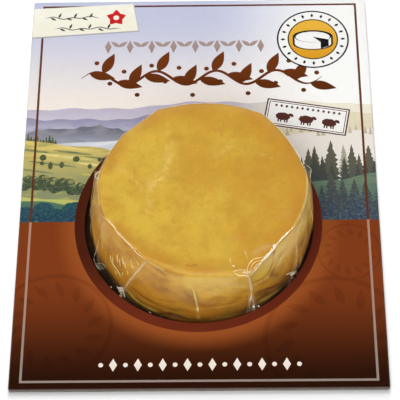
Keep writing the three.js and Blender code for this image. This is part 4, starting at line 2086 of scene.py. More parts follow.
@dataclass
class CheeseWheel:
    """The cheese inside the film.

    under_film is how far the rind is moved out from the film's form. rim_gap is how far it stays inside the
    film at the rim, where the film is tight.
    """

    form: WheelForm
    effects: Effects
    turns: int = 450
    under_film: float = -0.45
    rim_gap: float = 0.14
    tight_middle: float = 1.04
    tight_reach: float = 0.09
    fine_rise: float = 0.10
    fine_size: float = 4.5
    base_rise: float = 0.15

    def marked(self, marks: Sequence[SideMark], angle: Array, height: Array) -> Array:
        """Gives how strong the marks are together at each place.

        Args:
            marks: The marks.
            angle: Angles in degrees, at the rim.
            height: Heights above the wheel's foot.

        Returns:
            The strength at each place.
        """
        total = np.zeros(np.broadcast_shapes(angle.shape, height.shape))
        scale = math.radians(self.form.wheel_radius)
        for mark in marks:
            x, end_x = (turn_between(value, mark.start[0]) * scale for value in (angle, mark.end[0]))
            y, run_y = height - mark.start[1], mark.end[1] - mark.start[1]
            share = np.clip((x * end_x + y * run_y) / (end_x ** 2 + run_y ** 2), 0, 1)
            away = np.hypot(x - share * end_x, y - share * run_y)
            fade = 0.5 + 0.5 * np.sin(np.pi * share)
            total += mark.strength * fade * bell(away, mark.width)
        return total

    def build(self) -> bpy.types.Object:
        """Makes the wheel as a closed skin with relief and dresses it.

        Returns:
            The wheel.
        """
        angle = np.arange(self.turns)[:, None] * FULL_TURN / self.turns
        rows = Rows.spaced(side=52, bend=9, top=44, first_bend=self.form.first_bend)
        height, _, _, along = self.form.columns(angle, rows)
        smooth = self.form.surface(angle, rows, 0.0)
        below_rim = 1 - smooth_step(along, 0.96, 1.04)
        # Crease depth sinks the rind and also paints shade into its colour.
        depth = self.marked(CREASES, angle, height) * below_rim
        # The light and shade marks, painted into the rind's colour.
        painted_light = self.marked(LIGHT_AND_SHADE_MARKS, angle, height) * below_rim
        lumps = self.form.lumps(smooth, along)
        fine = self.fine_rise * noise_at(smooth, self.fine_size, 9.0)
        lift = self.under_film + lumps + fine - depth
        tight = bell(along - self.tight_middle, self.tight_reach)
        lift += (self.form.film_share * lumps - self.rim_gap - lift) * tight
        grid = self.form.surface(angle, rows, lift)
        skin = Skin()
        top = (*self.form.top_middle, float(grid[:, -1, 2].mean()))
        skin.add_dome(grid, top, (*self.form.base_middle, self.form.floor + self.base_rise))
        skin.carry("along", along, 2.0, 0.0)
        skin.carry("crease", depth, 0.0, 0.0)
        skin.carry("painted_light", painted_light, 0.0, 0.0)
        piece = skin.to_object("cheese_wheel", [RindFinish().material(self.effects)], sharp=60)
        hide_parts("sealed_cheese")
        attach(piece, ROOT)
        return piece


# Film


@dataclass(frozen=True)
class FilmFinish:
    """Clear film: what is behind it shows, its folds are milky with painted glints and its surface mirrors
    the lights.
    """

    white: Colour = screen(254, 250, 242)
    straw: Colour = screen(254, 236, 156)
    gloss_roughness: float = 0.09
    gloss_gain: float = 1.2
    gloss_limit: float = 0.35

    def material(self, effects: Effects) -> Material:
        """Mixes clear, milky and glossy by the film's own milkiness, which also paints glints, and by
        Fresnel.

        Args:
            effects: The node groups that materials share.

        Returns:
            The material.
        """
        made, kit, output = new_material("clear_film")
        spot = kit.spot()
        milk_and_glint = kit.carried("milk_and_glint")
        cloud = kit.ramp(kit.noise(spot, 1.6, 4.0, 0.6), 0.3, 0.7, 0.72, 1.25)
        milkiness = kit.times(milk_and_glint, cloud, clamp=True)
        dents = kit.noise(spot, 3.2, 3.0, 0.5)
        fine = kit.group(effects.grain, Size=0.8, Contrast=0.1).outputs["Height"]
        height = kit.plus(kit.times(dents, 0.8), kit.times(fine, 0.12))
        bump = kit.bump(height, 0.45, 0.5)
        clear = kit.add("ShaderNodeBsdfTransparent", {0: (1, 1, 1, 1)})
        yellow = kit.carried("straw")
        tint = kit.mix(yellow, self.white, self.straw)
        front = kit.add("ShaderNodeBsdfDiffuse", {"Color": tint, "Normal": bump})
        through = kit.add("ShaderNodeBsdfTranslucent", {"Color": tint, "Normal": bump})
        soft = kit.add("ShaderNodeMixShader", {0: 0.35, 1: front.outputs[0], 2: through.outputs[0]})
        cloudy = kit.add("ShaderNodeMixShader", {0: milkiness, 1: clear.outputs[0], 2: soft.outputs[0]})
        fresnel = kit.add("ShaderNodeFresnel", {"IOR": 1.5, "Normal": bump}).outputs[0]
        share = kit.math("MINIMUM", kit.times(fresnel, self.gloss_gain), self.gloss_limit)
        behind = kit.add("ShaderNodeNewGeometry").outputs["Backfacing"]
        share = kit.times(share, kit.minus(1.0, behind))
        shine = kit.carried("shine")
        share = kit.times(share, shine)
        inputs = {"Color": share, "Roughness": self.gloss_roughness, "Normal": bump}
        gloss = kit.add("ShaderNodeBsdfGlossy", inputs)
        film = kit.add("ShaderNodeAddShader", {0: cloudy.outputs[0], 1: gloss.outputs[0]})
        kit.feed(output.inputs[0], film.outputs[0])
        return made


@dataclass(frozen=True)
class Wrinkles:
    """A patch of fine wrinkles in the film, by angle and height, that run in one direction up the side."""

    turn: float
    height: float
    half_turn: float
    half_height: float
    direction: float
    length: float
    pitch: float
    rise: float
    seed: float

    def lift(self, angle: Array, height: Array, radius: float) -> Array:
        """Gives how far the wrinkles raise the film.

        Args:
            angle: Angles in degrees.
            height: Heights above the wheel's foot.
            radius: The wheel's radius.

        Returns:
            How far it is raised, in mm.
        """
        x = np.radians(turn_between(angle, self.turn)) * radius
        y = height - self.height
        cosine, sine = math.cos(math.radians(self.direction)), math.sin(math.radians(self.direction))
        along, across = (x * cosine + y * sine) / self.length, (y * cosine - x * sine) / self.pitch
        flat = np.stack([along, across, np.full(along.shape, self.seed)], -1)
        ridges = noise_at(flat, 1.0, self.seed)
        inside = 1 - smooth_step(np.abs(turn_between(angle, self.turn)), self.half_turn * 0.6, self.half_turn)
        inside = inside * (1 - smooth_step(np.abs(y), self.half_height * 0.6, self.half_height))
        return self.rise * inside * np.maximum(0, ridges * 2.2)


WRINKLES = (
    Wrinkles(219, 19, 20, 12, -30, 4.5, 1.9, 0.35, 1.3),
    Wrinkles(229, 8, 11, 9, -30, 5.0, 1.4, 0.45, 2.1),
    Wrinkles(251, 22, 16, 12, -34, 8.0, 2.8, 0.20, 3.7),
    Wrinkles(256, 9, 22, 9, -18, 9.0, 3.0, 0.16, 4.2),
    Wrinkles(280, 14, 14, 14, -12, 8.0, 2.5, 0.35, 5.9),
    Wrinkles(311, 17, 20, 16, 32, 12.0, 5.0, 0.30, 6.4),
    Wrinkles(345, 16, 16, 16, 76, 14.0, 5.0, 0.30, 7.8),
    Wrinkles(186, 16, 17, 16, 82, 12.0, 3.6, 0.35, 8.5),
    Wrinkles(30, 16, 24, 16, 70, 10.0, 2.6, 0.45, 9.2),
    Wrinkles(75, 15, 24, 15, 100, 10.0, 2.6, 0.45, 10.6),
    Wrinkles(120, 16, 24, 16, 75, 10.0, 2.6, 0.45, 11.4),
    Wrinkles(155, 16, 18, 15, 96, 10.0, 2.6, 0.45, 12.3),
)


@dataclass(frozen=True)
class Web:
    """A tent of film that stands on the wheel along a pleat and fans out to a gusset at the board.

    left_foot and right_foot are how far it fans out at the board, and spread how late it does.
    """

    pleat: Pleat
    stand: float
    left_foot: float
    right_foot: float
    spread: float
    milk_and_glint: float
    top_width: float = 0.6
    straw: float = 0.55
    shine: float = 1.0


WEBS = (
    Web(RIGHT_EAR, 0.2, 1.6, 1.6, 1.5, 0.24),
    Web(LEFT_EAR, 0.2, 1.6, 1.6, 1.5, 0.26),
    Web(LEFT_PLEAT, 1.2, 2.6, 4.2, 1, 0.12, straw=0.7, shine=0.4),
    Web(FRONT_LEFT_PLEAT, 0.7, 4.6, 1.2, 2.4, 0.36, 0.8, 1, 0.6),
    Web(FRONT_RIGHT_PLEAT, 0.7, 3.6, 2.4, 1.8, 0.5, 1),
    Web(RIGHT_PLEAT, 0.7, 4.2, 1.4, 2.2, 0.2, shine=0.5),
)


@dataclass(frozen=True)
class Fold:
    """A raised fold of film along a route on the wheel.

    Each place on the route is a turn, how far in it is from the rim, or below it if negative, and how far it
    stands off. The milk is how cloudy and white the fold is, partly the film's own whitening in a fold and
    partly a painted glint where the fold stands in for a highlight; straw is how yellow and shine how glossy.
    """

    route: tuple[tuple[float, ...], ...]
    width: float
    rise: float
    milk_and_glint: float
    straw: float = 0.4
    shine: float = 0.3


# The rim folds' milk paints much of the highlight along the rim.
RIM_FOLDS = (
    Fold(((194, -3.3), (197.6, -2.1), (201.4, -0.5), (202.8, 0.5)), 0.45, 0.3, 0.35, 0.9),
    Fold(((201.6, 0.6), (204, 0.8), (207.2, 0.5), (211.2, -0.1), (214.8, -0.5), (219, -0.4),
          (225.6, -0.6), (229.5, -1)), 0.75, 0.45, 1, 0.75, 0.5),
    Fold(((226, -0.6), (229, -1), (231.8, -0.9), (234, -0.4), (237.4, -0.1)), 0.5, 0.35, 0.85, 0.7),
    Fold(((238, -0.5), (241.2, -0.3), (246, -0.9), (250, -2.9)), 1.3, 0.5, 0.26, 1, 0.06),
    Fold(((171, -0.2), (180, -0.2), (188, -0.5), (193, -2)), 0.9, 0.45, 0.26, 0.9),
    Fold(((331.4, 0.2), (339, 0.1), (348, 0.1), (358, 0.1), (368, 0.1)), 0.8, 0.45, 0.32, 1, 0.12),
    Fold(((293.4, -1.9), (296, -1.2), (299, -0.9), (303, -0.7), (309.8, -0.3), (316, 0.2),
          (320.2, 0.6), (323.8, 0.8), (327.2, 0.5)), 0.55, 0.4, 1, 0.6, 0.6),
    Fold(((301.5, -0.8), (306.4, -0.5), (309.8, -0.3), (312.8, -0.1), (316.6, 0.2)), 1, 0.6, 1, 0.1, 0.7),
    Fold(((294, -2.3), (298, -2.2), (302.8, -2.3)), 0.36, 0.3, 0.6, 0.5),
    Fold(((313, 0.9), (314.2, 0.8), (315.6, 0.4)), 1, 0.6, 1, 0.1, 1),
    Fold(((290.6, 1.7), (292, 1.2), (293.3, 0.2)), 0.9, 0.4, 0.5, 0.1, 1),
)

# The corner loops' milk paints their bright highlight lines.
CORNER_FOLDS = (
    Fold(((170.4, 0.4, 0.1), (172, -0.3, 0.9), (173.4, -0.9, 1.7)), 0.5, 0.4, 0.75, 0.1, 1),
    Fold(((175.8, 0.2, 0.1), (174.8, -0.4, 0.9), (173.4, -0.9, 1.7)), 0.45, 0.35, 0.65, 0.1, 1),
    Fold(((13, 0, 0.1), (11.6, -0.2, 1.2), (9.4, -0.8, 1.9), (7.2, -1.8, 1.5),
          (5.8, -3.6, 0.4)), 0.42, 0.36, 0.34, 0.4, 0.25),
    Fold(((292.6, 0), (292.6, 0.9), (294, 2.6), (296.2, 3.8), (299, 3.6), (301, 3), (303, 1.8),
          (306, 0.3)), 0.42, 0.36, 1, 0.8, 0.8),
    Fold(((293.6, -0.8), (294.8, 1), (296.6, 2), (298.6, 2.2), (301, 1.4),
          (303.2, 0.2)), 0.34, 0.3, 0.8, 0.8, 0.6),
    Fold(((293.2, -1.2), (291.2, -0.5), (288, -0.1), (286.4, 1.2)), 0.5, 0.36, 1, 0.5, 0.8),
    Fold(((286.4, 1.2), (286.6, 2), (288.2, 2.4), (290.4, 2.8), (292.6, 2.6),
          (293.4, 1.2)), 0.4, 0.32, 0.95, 0.7, 0.6),
    Fold(((286.6, 10), (286.8, 7.2), (286.8, 5.6)), 0.5, 0.26, 0.34, 0.7),
    Fold(((286.8, 5.2), (287.6, 4.9), (288.2, 4.8)), 0.7, 0.4, 0.8, 0.4),
    Fold(((297.8, 10.4), (297.4, 7.8)), 0.66, 0.26, 0.34, 0.6),
    Fold(((297.2, 7.6), (296.4, 5.8)), 0.4, 0.22, 0.22, 0.6),
)

SIDE_FOLDS = (
    Fold(((263.6, -8.3), (264.2, -12.1), (264.2, -16.7), (263.8, -23), (263.4, -29.3),
          (263.4, -32.4)), 1.2, 0.7, 0.24, 1),
    Fold(((263.5, -7.4), (264, -11), (264.2, -14.6)), 1, 0.75, 0.4, 1),
    Fold(((264.2, -17.8), (264, -22.4)), 1.25, 0.8, 0.55, 0.8),
    Fold(((293, -1.2), (292.8, -5), (293.2, -9.5), (293.4, -14.5)), 1.3, 0.4, 0.16, 0.1),
    Fold(((237.6, -1.2), (237, -8), (236.4, -15), (237.2, -21.5)), 0.9, 0.4, 0.2, 0.3),
    Fold(((315.8, -6.1), (312.8, -7.5), (309.8, -8.9)), 1.6, 0.45, 0.12, 1),
    Fold(((341.5, -2.8), (336.5, -3.8), (332.8, -4.8), (330.8, -9.8)), 1.6, 0.55, 0.2, 1, 0.05),
    Fold(((336.4, -19.5), (337.4, -24), (338, -29)), 0.6, 0.35, 0.3, 0.9),
    Fold(((352.5, -2), (352.3, -9), (352.5, -16.5), (355, -27)), 0.7, 0.5, 0.24, 0.9),
    Fold(((188, -4), (187, -14), (190, -24)), 0.7, 0.4, 0.12, 0.9),
)

# Painted glints: short pale strokes of wrinkled film between two pleats.
PANEL_FOLDS = (
    Fold(((215.4, -12.4), (216.7, -13.6), (218.2, -14.9)), 0.8, 0.35, 0.4, 1),
    Fold(((217.4, -12.2), (218.9, -13.6), (220.4, -15)), 0.8, 0.38, 0.46, 0.9),
    Fold(((219.4, -8.8), (221.1, -10.4), (222.8, -12.2)), 0.8, 0.38, 0.5, 0.9),
    Fold(((222.4, -9.8), (224.1, -11.2), (225.8, -12.6)), 0.75, 0.35, 0.44, 0.9),
    Fold(((223.6, -7.8), (225.3, -9.2), (226.8, -10.6)), 0.75, 0.38, 0.5, 0.9),
    Fold(((226.2, -8.4), (227.9, -9.8), (229.4, -11.2)), 0.75, 0.35, 0.42, 0.9),
    Fold(((229.4, -6.2), (231.3, -7.4), (232.8, -8.6)), 0.75, 0.32, 0.38, 1),
    Fold(((232.2, -6.6), (233.7, -7.8), (235.2, -8.8)), 0.65, 0.3, 0.32, 1),
    Fold(((228.4, -2.8), (229.9, -3.5), (231.6, -4.4)), 0.6, 0.26, 0.22, 1),
    Fold(((232.2, -4), (233.9, -4.8), (235.6, -5.2)), 0.7, 0.3, 0.28, 1),
    Fold(((221.8, -4.8), (223.3, -5.4), (225.2, -5.9)), 0.65, 0.28, 0.22, 1),
    Fold(((225, -5.2), (227.2, -5.8)), 0.6, 0.26, 0.22, 1),
    Fold(((217.2, -14.6), (220.6, -14.9), (225.2, -15.5), (230.4, -17)), 0.6, 0.35, 0.36, 1),
    Fold(((224, -16.6), (226.4, -18.2)), 0.7, 0.32, 0.36, 1),
    Fold(((227.4, -15.8), (229.4, -17.4)), 0.6, 0.3, 0.32, 1),
    Fold(((229, -14.4), (231, -16)), 0.6, 0.3, 0.38, 1),
    Fold(((231.2, -11.6), (233.4, -13.2)), 0.6, 0.3, 0.32, 1),
    Fold(((235, -13.2), (237, -14.6)), 0.55, 0.3, 0.28, 1),
)

# The whitest short folds here, with no straw, are painted glints at the pleats' feet.
FOOT_FOLDS = (
    Fold(((201.8, -14, 0.2), (201.2, -18, 0.3), (200, -23, 0.8),
          (198.6, -27.5, 1.8)), 0.42, 0.35, 0.26, 0.3),
    Fold(((198.6, -27.5, 1.8), (198.8, -30.3, 2.4), (201, -31.6, 2.4),
          (203.6, -32.3, 1.6)), 0.46, 0.35, 0.28, 0.2),
    Fold(((199.6, -30.6, 2.3), (203, -28, 1), (208, -24.2, 0.5), (212.8, -21.6, 0.3),
          (215.4, -22.6, 0.5)), 0.42, 0.35, 0.24, 0.3),
    Fold(((202, -31, 2), (207, -28.2, 1), (211.5, -26.4, 0.7)), 0.4, 0.35, 0.24, 0.3),
    Fold(((229, -31.2, 0.3), (232.5, -26.8, 0.5), (236, -22.8, 0.4)), 1, 0.5, 0.85, 0, 1),
    Fold(((231.6, -30.2, 0.5), (234.8, -27.2, 0.7), (237.2, -24.6, 0.5)), 1.05, 0.5, 0.75, 0, 1),
    Fold(((237, -23.4, 0.4), (238, -27.5, 0.6), (238.8, -32, 0.8)), 0.8, 0.5, 0.55, 0.1),
    Fold(((232.6, -31, 0.6), (235.4, -29.6, 0.8), (237.6, -29.8, 0.8)), 0.6, 0.45, 0.4, 0.1),
    Fold(((224.8, -32.2, 2.5), (226, -32.2, 2.5)), 0.7, 0.5, 0.85, 0, 1),
    Fold(((247.6, -31, 0.2), (248.6, -31.6, 0.2)), 0.45, 0.3, 0.35, 0.4),
    Fold(((293.2, -14.5, 0.5), (290.6, -20.1, 0.6), (288.8, -28.6, 0.8),
          (288.2, -31.8, 0.9)), 0.75, 0.45, 0.55, 0.1),
    Fold(((293.6, -15, 0.5), (294, -20.5, 0.6), (294.8, -27.3, 0.7),
          (295.6, -32, 0.8)), 0.65, 0.45, 0.45, 0.1),
    Fold(((291.8, -28.4, 1.2), (293.1, -28.2, 1.2)), 1.15, 0.8, 1, 0, 1),
    Fold(((296, -30.4, 1), (297.4, -30.2, 1)), 0.9, 0.6, 0.95, 0, 1),
    Fold(((292.6, -17.5, 0.8), (291.4, -20.5, 0.9), (290.6, -23, 0.9)), 1.5, 0.6, 0.75, 0),
    Fold(((291, -22, 0.9), (290.2, -26, 1), (289.6, -29.5, 1)), 1.1, 0.55, 0.55, 0.1),
    Fold(((320.2, -19.1, 0.2), (324, -21, 0.4), (327.4, -22.9, 0.5),
          (332.8, -25.7, 0.7)), 0.8, 0.45, 0.7, 0.4),
    Fold(((328.8, -25.3, 0.5), (331.5, -28.5, 0.7), (333.5, -31, 0.8)), 0.5, 0.4, 0.5, 0.3),
    Fold(((327, -24.2, 0.6), (330.4, -25.2, 0.8), (332.6, -26.4, 0.9)), 1.5, 0.6, 0.8, 0.3),
    Fold(((333, -25.5, 0.7), (335, -28.5, 0.8), (336, -31.5, 0.8)), 0.55, 0.4, 0.45, 0.3),
    Fold(((331.2, -19, 0.5), (332.6, -24, 0.6), (334.4, -30, 0.8)), 0.6, 0.45, 0.4, 0.4),
)

FOLDS = RIM_FOLDS + CORNER_FOLDS + SIDE_FOLDS + PANEL_FOLDS + FOOT_FOLDS


@dataclass(frozen=True)
class Sheen:
    """A soft milky patch of the film on the top, by turn and reach in from the rim."""

    turn: float
    reach: float
    half_turn: float
    half_reach: float
    milk_and_glint: float

    def milkiness(self, angle: Array, reach: Array) -> Array:
        """Gives how milky the patch makes each place."""
        beside = bell(turn_between(angle, self.turn), self.half_turn)
        return self.milk_and_glint * beside * bell(reach - self.reach, self.half_reach)


SHEENS = (
    Sheen(303.4, 4.8, 2.6, 1.3, 0.34),
    Sheen(308, 3.4, 2.8, 1.2, 0.36),
    Sheen(311.8, 2, 2.2, 1, 0.26),
    Sheen(337, 5, 3.4, 2, 0.1),
    Sheen(22, 6, 3, 1.8, 0.06),
    Sheen(295.5, 18.5, 4, 2.2, 0.07),
    Sheen(275, 1.5, 12, 1.8, 0.04),
)


@dataclass
class VacuumFilm:
    """The film: a skin drawn over the wheel and out under the board, webs at its pleats and raised folds.

    The halo is the milky film beside a pleat, and the gusset the film's spread at its foot. dull_parts are
    stretches of the side with less gloss, by their middle, their spread and how much they lose. web_sink is
    how far inside the wheel's form a web begins, and web_drop how far below the rim. ripples are the waves of
    the skirt, by height, number round the wheel and phase.
    """

    form: WheelForm
    effects: Effects
    turns: int = 560
    skirt_radius: float = 60.0
    skirt_rise: float = 0.35
    skirt_rows: tuple[float, ...] = (0.0, 0.35, 0.7, 0.93)
    ripples: tuple[tuple[float, float, float], ...] = ((0.12, 41, 0), (0.10, 67, 1))
    base_shine: float = 0.12
    skirt_shine: float = 0.015
    dull_height: float = 8.0
    bright_height: float = 31.0
    dull_parts: tuple[tuple[float, ...], ...] = ((345, 17, 0.75), (215, 32, 0.65), (300, 7, 0.9))
    gusset_share: float = 0.2
    skin_straw: float = 0.8
    least_milk: float = 0.004
    halo_milk: float = 0.05
    halo_height: float = 12.0
    back_turn: float = 92.0
    back_fade: Point = (40.0, 75.0)
    rim_milk: float = 0.02
    back_milk: float = 0.10
    gusset_height: float = 9.0
    gusset_turn: float = 3.2
    top_wave: float = 0.10
    top_wave_size: float = 11.0
    web_steps: int = 48
    web_sides: int = 17
    web_drop: float = 0.9
    web_foot: float = 0.25
    web_sink: float = 0.3
    web_base_sink: float = 0.8
    web_waves: float = 13.0
    web_wave: float = 0.16
    crumple: float = 0.15
    sway: float = 0.4
    ridge_width: float = 0.18
    fold_steps: int = 12
    fold_sides: int = 9

    def build(self) -> list[bpy.types.Object]:
        """Makes the three film pieces and dresses them alike.

        Returns:
            The skin, the webs and the folds.
        """
        finish = FilmFinish().material(self.effects)
        pieces = [self.skin(finish), self.webs(finish), self.folds(finish)]
        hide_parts("sealed_cheese")
        for piece in pieces:
            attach(piece, ROOT)
        return pieces

    def milkiness(self, angle: Array, height: Array, along: Array) -> Array:
        """Gives how milky the film is: more at pleats, gussets, the rim at the back and the painted sheens on
        top.

        Args:
            angle: Angles in degrees.
            height: Heights above the wheel's foot.
            along: How far along the column each point is.

        Returns:
            How milky it is, 0 where it is clear.
        """
        milk_and_glint = self.least_milk * (2 - smooth_step(along, 0.95, 1.1))
        reach = (along - RIM_END) / TOP_RUN * self.form.wheel_radius
        for sheen in SHEENS:
            milk_and_glint = milk_and_glint + sheen.milkiness(angle, reach) * (along > 1.0)
        for web in WEBS:
            away = np.abs(turn_between(angle, web.pleat.rim_angle))
            low = np.maximum(0, 1 - height / self.halo_height)
            milk_and_glint = milk_and_glint + self.halo_milk * bell(away, 1.0 + 3.0 * low) * (along < 1.05)
        back = 1 - smooth_step(np.abs(turn_between(angle, self.back_turn)), *self.back_fade)
        edge = bell(along - 1.07, 0.05)
        return milk_and_glint + edge * (self.rim_milk + self.back_milk * back)

    def skin(self, finish: Material) -> bpy.types.Object:
        """Makes the closed skin, from the skirt's edge under the board up over the wheel.

        Args:
            finish: The film's material.

        Returns:
            The piece.
        """
        angle = np.arange(self.turns)[:, None] * FULL_TURN / self.turns
        rows = Rows.spaced(side=62, bend=9, top=40, first_bend=self.form.first_bend)
        height, _, _, along = self.form.columns(angle, rows)
        smooth = self.form.surface(angle, rows, 0.0)
        lift = self.form.film_share * self.form.lumps(smooth, along)
        for patch in WRINKLES:
            wrinkles = patch.lift(angle, height, self.form.wheel_radius)
            lift = lift + wrinkles * (1 - smooth_step(along, 0.8, 1.0))
        for web in WEBS:
            low = np.maximum(0, 1 - height / self.gusset_height)
            away = np.abs(turn_between(angle, web.pleat.rim_angle))
            wide = (web.left_foot + web.right_foot) * self.gusset_share
            lift = lift + wide * low ** 2 * bell(away, self.gusset_turn)
        top_waves = self.top_wave * noise_at(smooth * np.array([0.7, 1.0, 1.0]), self.top_wave_size, 21.0)
        lift = lift + top_waves * smooth_step(along, 1.05, 1.2)
        grid = self.form.surface(angle, rows, lift)
        skirt = self.skirt(angle, grid[:, 0])
        grid = np.concatenate([skirt, grid], 1)
        milk_and_glint = self.milkiness(angle, height, along)
        made = Skin()
        top = (*self.form.top_middle, float(grid[:, -1, 2].mean()))
        made.add_dome(grid, top, (0.0, SleeveSize.window_y, self.form.floor))
        flat = np.ones((self.turns, skirt.shape[1]))
        made.carry("milk_and_glint", np.hstack([flat * 0.0, milk_and_glint]), self.least_milk, 0.0)
        made.values["straw"] = [self.skin_straw] * len(made.points)
        gloss = smooth_step(height, self.dull_height, self.bright_height)
        for middle, spread, share in self.dull_parts:
            gloss = gloss * (1 - share * bell(turn_between(angle, middle), spread) * (along < RIM_END))
        shine = self.base_shine + (1 - self.base_shine) * gloss
        made.carry("shine", np.hstack([flat * self.skirt_shine, shine]), 1.0, self.skirt_shine)
        return made.to_object("film_skin", [finish], sharp=60)

    def skirt(self, angle: Array, foot: Array) -> Array:
        """Gives the rows of the skirt, from its edge under the board in to the wheel's foot.

        Args:
            angle: The columns' angles.
            foot: The wheel's lowest point in each column.

        Returns:
            Points by column and row.
        """
        direction = np.radians(angle[:, 0])
        edge = np.stack([np.cos(direction), np.sin(direction)], 1) * self.skirt_radius
        edge[:, 1] += SleeveSize.window_y
        ripple = sum(rise * np.sin(direction * waves + phase) for rise, waves, phase in self.ripples)
        rows = [np.column_stack([edge, np.full(self.turns, self.form.floor)])]
        for share in self.skirt_rows:
            flat = edge + (foot[:, :2] - edge) * share
            rise = self.form.floor + self.skirt_rise * (1 - share) + 0.05 + ripple * share * (1 - share) * 2
            rows.append(np.column_stack([flat, rise]))
        return np.stack(rows, 1)

    def webs(self, finish: Material) -> bpy.types.Object:
        """Makes the tents of film along the pleats."""
        tubes = [(web, *self.web_grid(web, number)) for number, web in enumerate(WEBS)]
        return self.piece_of("film_webs", tubes, finish, sharp=50)

    def piece_of(self, name: str, tubes: Sequence[tuple], finish: Material,
                 sharp: float) -> bpy.types.Object:
        """Makes one piece of many tubes.

        Args:
            name: Name of the piece.
            tubes: For each tube its web or fold, its cross sections and how milky each of its points is.
            finish: The film's material.
            sharp: Edges that bend more than this many degrees stay sharp.

        Returns:
            The piece.
        """
        made = Skin(values={"milk_and_glint": [], "straw": [], "shine": []})
        for part, grid, milk_and_glint in tubes:
            self.add_tube(made, grid)
            made.values["milk_and_glint"] += milk_and_glint
            made.values["straw"] += [part.straw] * len(milk_and_glint)
            made.values["shine"] += [part.shine] * len(milk_and_glint)
        return made.to_object(name, [finish], sharp)

    def web_grid(self, web: Web, number: int) -> tuple[Array, list[float]]:
        """Gives the cross sections of one web from the rim to the board, and how milky each point is.

        Args:
            web: The web.
            number: Its number, which sets its own waves.

        Returns:
            The points by cross section, and the milkiness of each point and of both ends.
        """
        share = np.linspace(0, 1, self.web_steps)[:, None]
        out = np.linspace(-1, 1, self.web_sides)
        height = (self.form.height - self.web_drop) * (1 - share) + self.web_foot
        angle = np.full(share.shape, web.pleat.rim_angle)
        body = self.form.body_radius(angle, height)
        rim = web.pleat.rim_radius + web.pleat.ear
        line = rim + (web.pleat.foot_radius - rim) * share
        crumple = self.crumple * np.sin(share * 31 + number) * share
        stand = web.stand * (0.35 + 0.65 * share) * np.minimum(1, share * 9)
        crest = np.maximum(line, body + stand) + crumple
        fan = share ** web.spread
        half = web.top_width + (np.where(out < 0, web.left_foot, web.right_foot) - web.top_width) * fan
        sway = self.sway * np.sin(share * 9 + number * 1.7) * share
        folded = np.cos(out * self.web_waves + number)
        pleats = self.web_wave * folded * fan * (1 - np.abs(out))
        up = (1 - np.abs(out)) ** (1.4 + 0.8 * (1 - fan)) + pleats
        turn = angle + np.degrees((out * half + sway) / self.form.wheel_radius)
        radius = body - self.web_sink + (crest - body + self.web_sink) * up
        grid = self.form.place(turn, height + 0 * out, radius)
        ridge = bell(out, self.ridge_width) + 0.28 + 0.35 * fan * folded
        milk_and_glint = web.milk_and_glint * np.clip(ridge * (1 - np.abs(out) ** 4), 0, 1.2) * (0.55 + 0.6 * share)
        base = self.form.place(turn, height + 0 * out, body - self.web_base_sink + 0 * out)
        grid = np.concatenate([grid, base[:, ::-4]], 1)
        milk_and_glint = np.concatenate([milk_and_glint, np.zeros((len(milk_and_glint), grid.shape[1] - len(out)))], 1)
        return grid, [*milk_and_glint.ravel().tolist(), 0.0, 0.0]

    @staticmethod
    def add_tube(made: Skin, grid: Array) -> None:
        """Adds cross sections as a closed tube with a flat fan over each end.

        Args:
            made: The skin that it is added to.
            grid: Points by cross section and place round it.
        """
        steps, sides = grid.shape[:2]
        first = made.add_grid(grid, closed_rows=True)
        start = [first + side for side in range(sides)]
        end = [first + (steps - 1) * sides + side for side in reversed(range(sides))]
        made.add_pole(grid[0].mean(0).tolist(), start)
        made.add_pole(grid[-1].mean(0).tolist(), end)

    def folds(self, finish: Material) -> bpy.types.Object:
        """Makes the raised folds as low ridges that taper at both ends.

        Args:
            finish: The film's material.

        Returns:
            The piece.
        """
        tubes = []
        for fold in FOLDS:
            grid = self.fold_grid(fold)
            tubes.append((fold, grid, [fold.milk_and_glint] * (grid.shape[0] * grid.shape[1] + 2)))
        return self.piece_of("film_folds", tubes, finish, sharp=60)

    def fold_grid(self, fold: Fold) -> Array:
        """Gives the cross sections of one fold.

        Args:
            fold: The fold.

        Returns:
            Points by cross section and place round it.
        """
        route = smooth_path([(*place, 0.0)[:3] for place in fold.route], self.fold_steps)
        base = self.form.at(route[:, 0], route[:, 1], route[:, 2])
        out = self.form.at(route[:, 0], route[:, 1], route[:, 2] + 1.0) - base
        out /= np.linalg.norm(out, axis=1)[:, None]
        along = np.gradient(base, axis=0)
        along /= np.linalg.norm(along, axis=1)[:, None]
        across = np.cross(along, out)
        share = np.linspace(0, 1, len(route))
        taper = np.sqrt(np.clip(np.minimum(share, 1 - share) * 4, 0.01, 1))
        sections = []
        for turn in np.radians(np.arange(self.fold_sides) * FULL_TURN / self.fold_sides):
            side = across * (math.cos(turn) * fold.width / 2 * taper)[:, None]
            up = out * ((math.sin(turn) + 1) * fold.rise / 2 * taper)[:, None]
            sections.append(base + side + up)
        return np.stack(sections, 1)


# Studio


class Glow(Enum):
    """What a light shows in: the matt colour of things or their gloss."""

    MATT = "matt"
    GLOSS = "gloss"


